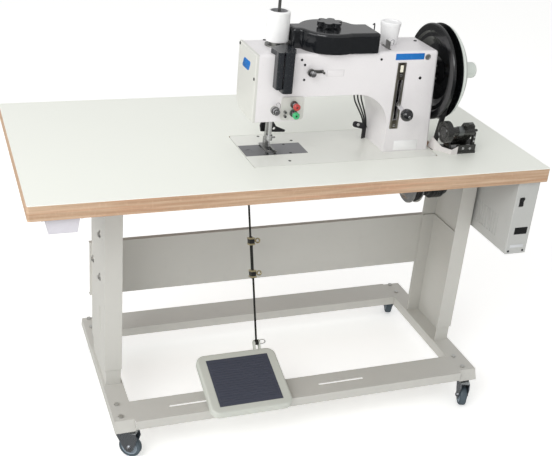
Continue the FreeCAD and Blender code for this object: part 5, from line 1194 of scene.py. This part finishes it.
class SEWING_OT_winder(bpy.types.Operator):
    """Bobbin winder beside the belt, with its screws, bush and folded guard"""
    bl_idname = "sewing.winder"
    bl_label = "Bobbin winder"

    guard_foot = ((427, -134), (428.5, -150), (430, -162), (447, -177), (463.6, -203.5), (483, -203.5))
    guard_rise = (3, 37, 32, 14, 14, 23)
    guard_foot_gap = 0.1
    guard_thick = 1.0
    bush_outline = ((0, 12), (0, 13), (0.8, 13.6), (15.2, 13.6), (16, 13), (16, 12), (0, 12))
    bush_start = 473
    rib_runs = (432, 435, 438, 441, 444)
    rib_radius = 29.3
    rib_wire = 0.9
    small_head = (2.6, 1.6)
    base_head = (4.0, 2.0)
    post_head = (3.0, 1.6)
    screws = (
        (62, 0, 3, small_head, 0.6),
        (40, 2, 15, base_head, 0.6),
        (18, 2, 14, base_head, 1.4),
        (6, 7, 45, post_head, 0.6),
        (6, 7, 33, post_head, 0.1),
    )

    def execute(self, context):
        enamel = glossy("winder_enamel", (0.02, 0.02, 0.018), 0.26)
        dress(enamel, "winder_base", "winder_arm", "winder_wheel")
        low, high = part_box("winder_wheel")
        self.axis_y = (low.y + high.y) / 2 / MM
        self.axis_z = (low.z + high.z) / 2 / MM
        self.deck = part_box("table_top")[1].z / MM
        self.add_bush()
        self.add_screws()
        self.add_guard()
        return {"FINISHED"}

    def add_bush(self):
        """Grey spindle bush on the arm and the ribs of the wheel's rubber tyre."""
        grey = brushed("bush_grey", (0.20, 0.21, 0.21), 0.4, EVEN_GRAIN)
        turned_piece("spindle_bush", self.bush_outline, at(self.bush_start, self.axis_y, self.axis_z),
                     TO_RIGHT, 40, "winder_arm", grey)
        rubber = rubbery("wheel_rubber", (0.012, 0.012, 0.013), 0.55)
        bm = bmesh.new()
        for x in self.rib_runs:
            add_ring(bm, at(x, self.axis_y, self.axis_z), TO_RIGHT, self.rib_radius, self.rib_wire, 56)
        piece("wheel_ribs", bm, "winder_wheel", rubber)

    def add_screws(self):
        """Bright screws on the base and its posts, placed from its right end, its front and the deck."""
        low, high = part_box("winder_base")
        bm = bmesh.new()
        for aside, behind, above, head, turn in self.screws:
            seat = at(high.x / MM - aside, low.y / MM + behind, self.deck + above)
            add_screw(bm, seat, TO_FRONT, head, turn)
        piece("winder_screws", bm, "machine", chrome())

    def add_guard(self):
        """Folded light sheet that stands in front of the belt: its foot line, drawn up to its crest."""
        shape = bmesh.new()
        feet = [shape.verts.new(at(x, y, self.deck + self.guard_foot_gap)) for x, y in self.guard_foot]
        folds = [shape.edges.new(pair) for pair in zip(feet, feet[1:])]
        drawn = bmesh.ops.extrude_edge_only(shape, edges=folds)["geom"]
        crest = [item for item in drawn if isinstance(item, bmesh.types.BMVert)]
        for vert, rise in zip(sorted(crest, key=lambda item: item.co.x), self.guard_rise):
            vert.co.z = (self.deck + rise) * MM
        bmesh.ops.recalc_face_normals(shape, faces=shape.faces)
        bmesh.ops.solidify(shape, geom=shape.faces[:], thickness=self.guard_thick * MM)
        bm = bmesh.new()
        join(bm, shape, Matrix.Identity(4))
        paint = painted("guard_paint", linear(226, 222, 220), 0.35)
        piece("belt_guard", bm, "machine", paint, smooth_angle=25)


class SEWING_OT_control(bpy.types.Operator):
    """Control box, its display window, bare label and screws"""
    bl_idname = "sewing.control"
    bl_label = "Control box"

    display_size = (41, 21)
    display_place = (38, 1.9, 72)
    display_thick = 1.6
    label_size = (44, 9)
    label_place = (35, 0, 24)
    label_thick = 0.4
    screw_runs = (10, 57)
    screw_rise = 9
    screw_head = (3.2, 1.4)

    def execute(self, context):
        dress(painted("control_paint", colours().control, 0.42), "control_box")
        dress(moulded("switch_black", (0.012, 0.012, 0.013), 0.32), "power_switch")
        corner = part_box("control_box")[0]
        glass = glossy("display_glass", (0.008, 0.009, 0.009), 0.08)
        plate_piece("display_window", rectangle(*self.display_size), self.display_thick,
                    facing(corner + at(*self.display_place), TO_FRONT), glass, corner=1.0)
        grey = moulded("label_grey", linear(206, 208, 210), 0.35)
        plate_piece("control_label", rectangle(*self.label_size), self.label_thick,
                    facing(corner + at(*self.label_place), TO_FRONT), grey,
                    corner=0.8, rounding=0.1)
        bm = bmesh.new()
        for run in self.screw_runs:
            add_screw(bm, corner + at(run, 0, self.screw_rise), TO_FRONT, self.screw_head, turn=run)
        piece("control_screws", bm, "machine", dark_steel())
        return {"FINISHED"}


class SEWING_OT_leads(bpy.types.Operator):
    """Leads in the arch"""
    bl_idname = "sewing.leads"
    bl_label = "Leads"

    def execute(self, context):
        dress(rubbery("lead_sheath", (0.02, 0.02, 0.022), 0.5), "cables")
        return {"FINISHED"}


class SEWING_PT_panel(bpy.types.Panel):
    """Buttons for the pieces of the sewing machine"""
    bl_idname = "SEWING_PT_panel"
    bl_label = "Sewing machine"
    bl_space_type = "VIEW_3D"
    bl_region_type = "UI"
    bl_category = "Sewing"

    def draw(self, context):
        for step in STEPS:
            self.layout.operator(step.bl_idname)
        for group in (context.scene.sewing_colours, context.scene.sewing_sizes):
            for name in group.__annotations__:
                self.layout.prop(group, name)


STEPS = (
    SEWING_OT_stage,
    SEWING_OT_table,
    SEWING_OT_stand,
    SEWING_OT_casters,
    SEWING_OT_treadle,
    SEWING_OT_drive,
    SEWING_OT_head,
    SEWING_OT_thread,
    SEWING_OT_winder,
    SEWING_OT_control,
    SEWING_OT_leads,
)
CLASSES = (SewingColours, SewingSizes, *STEPS, SEWING_PT_panel)


def register():
    for item in CLASSES:
        bpy.utils.register_class(item)
    bpy.types.Scene.sewing_colours = PointerProperty(type=SewingColours)
    bpy.types.Scene.sewing_sizes = PointerProperty(type=SewingSizes)


def unregister():
    del bpy.types.Scene.sewing_sizes
    del bpy.types.Scene.sewing_colours
    for item in reversed(CLASSES):
        bpy.utils.unregister_class(item)


def main():
    register()
    for step in STEPS:
        group, name = step.bl_idname.split(".")
        getattr(getattr(bpy.ops, group), name)()


if __name__ == "__main__":
    main()
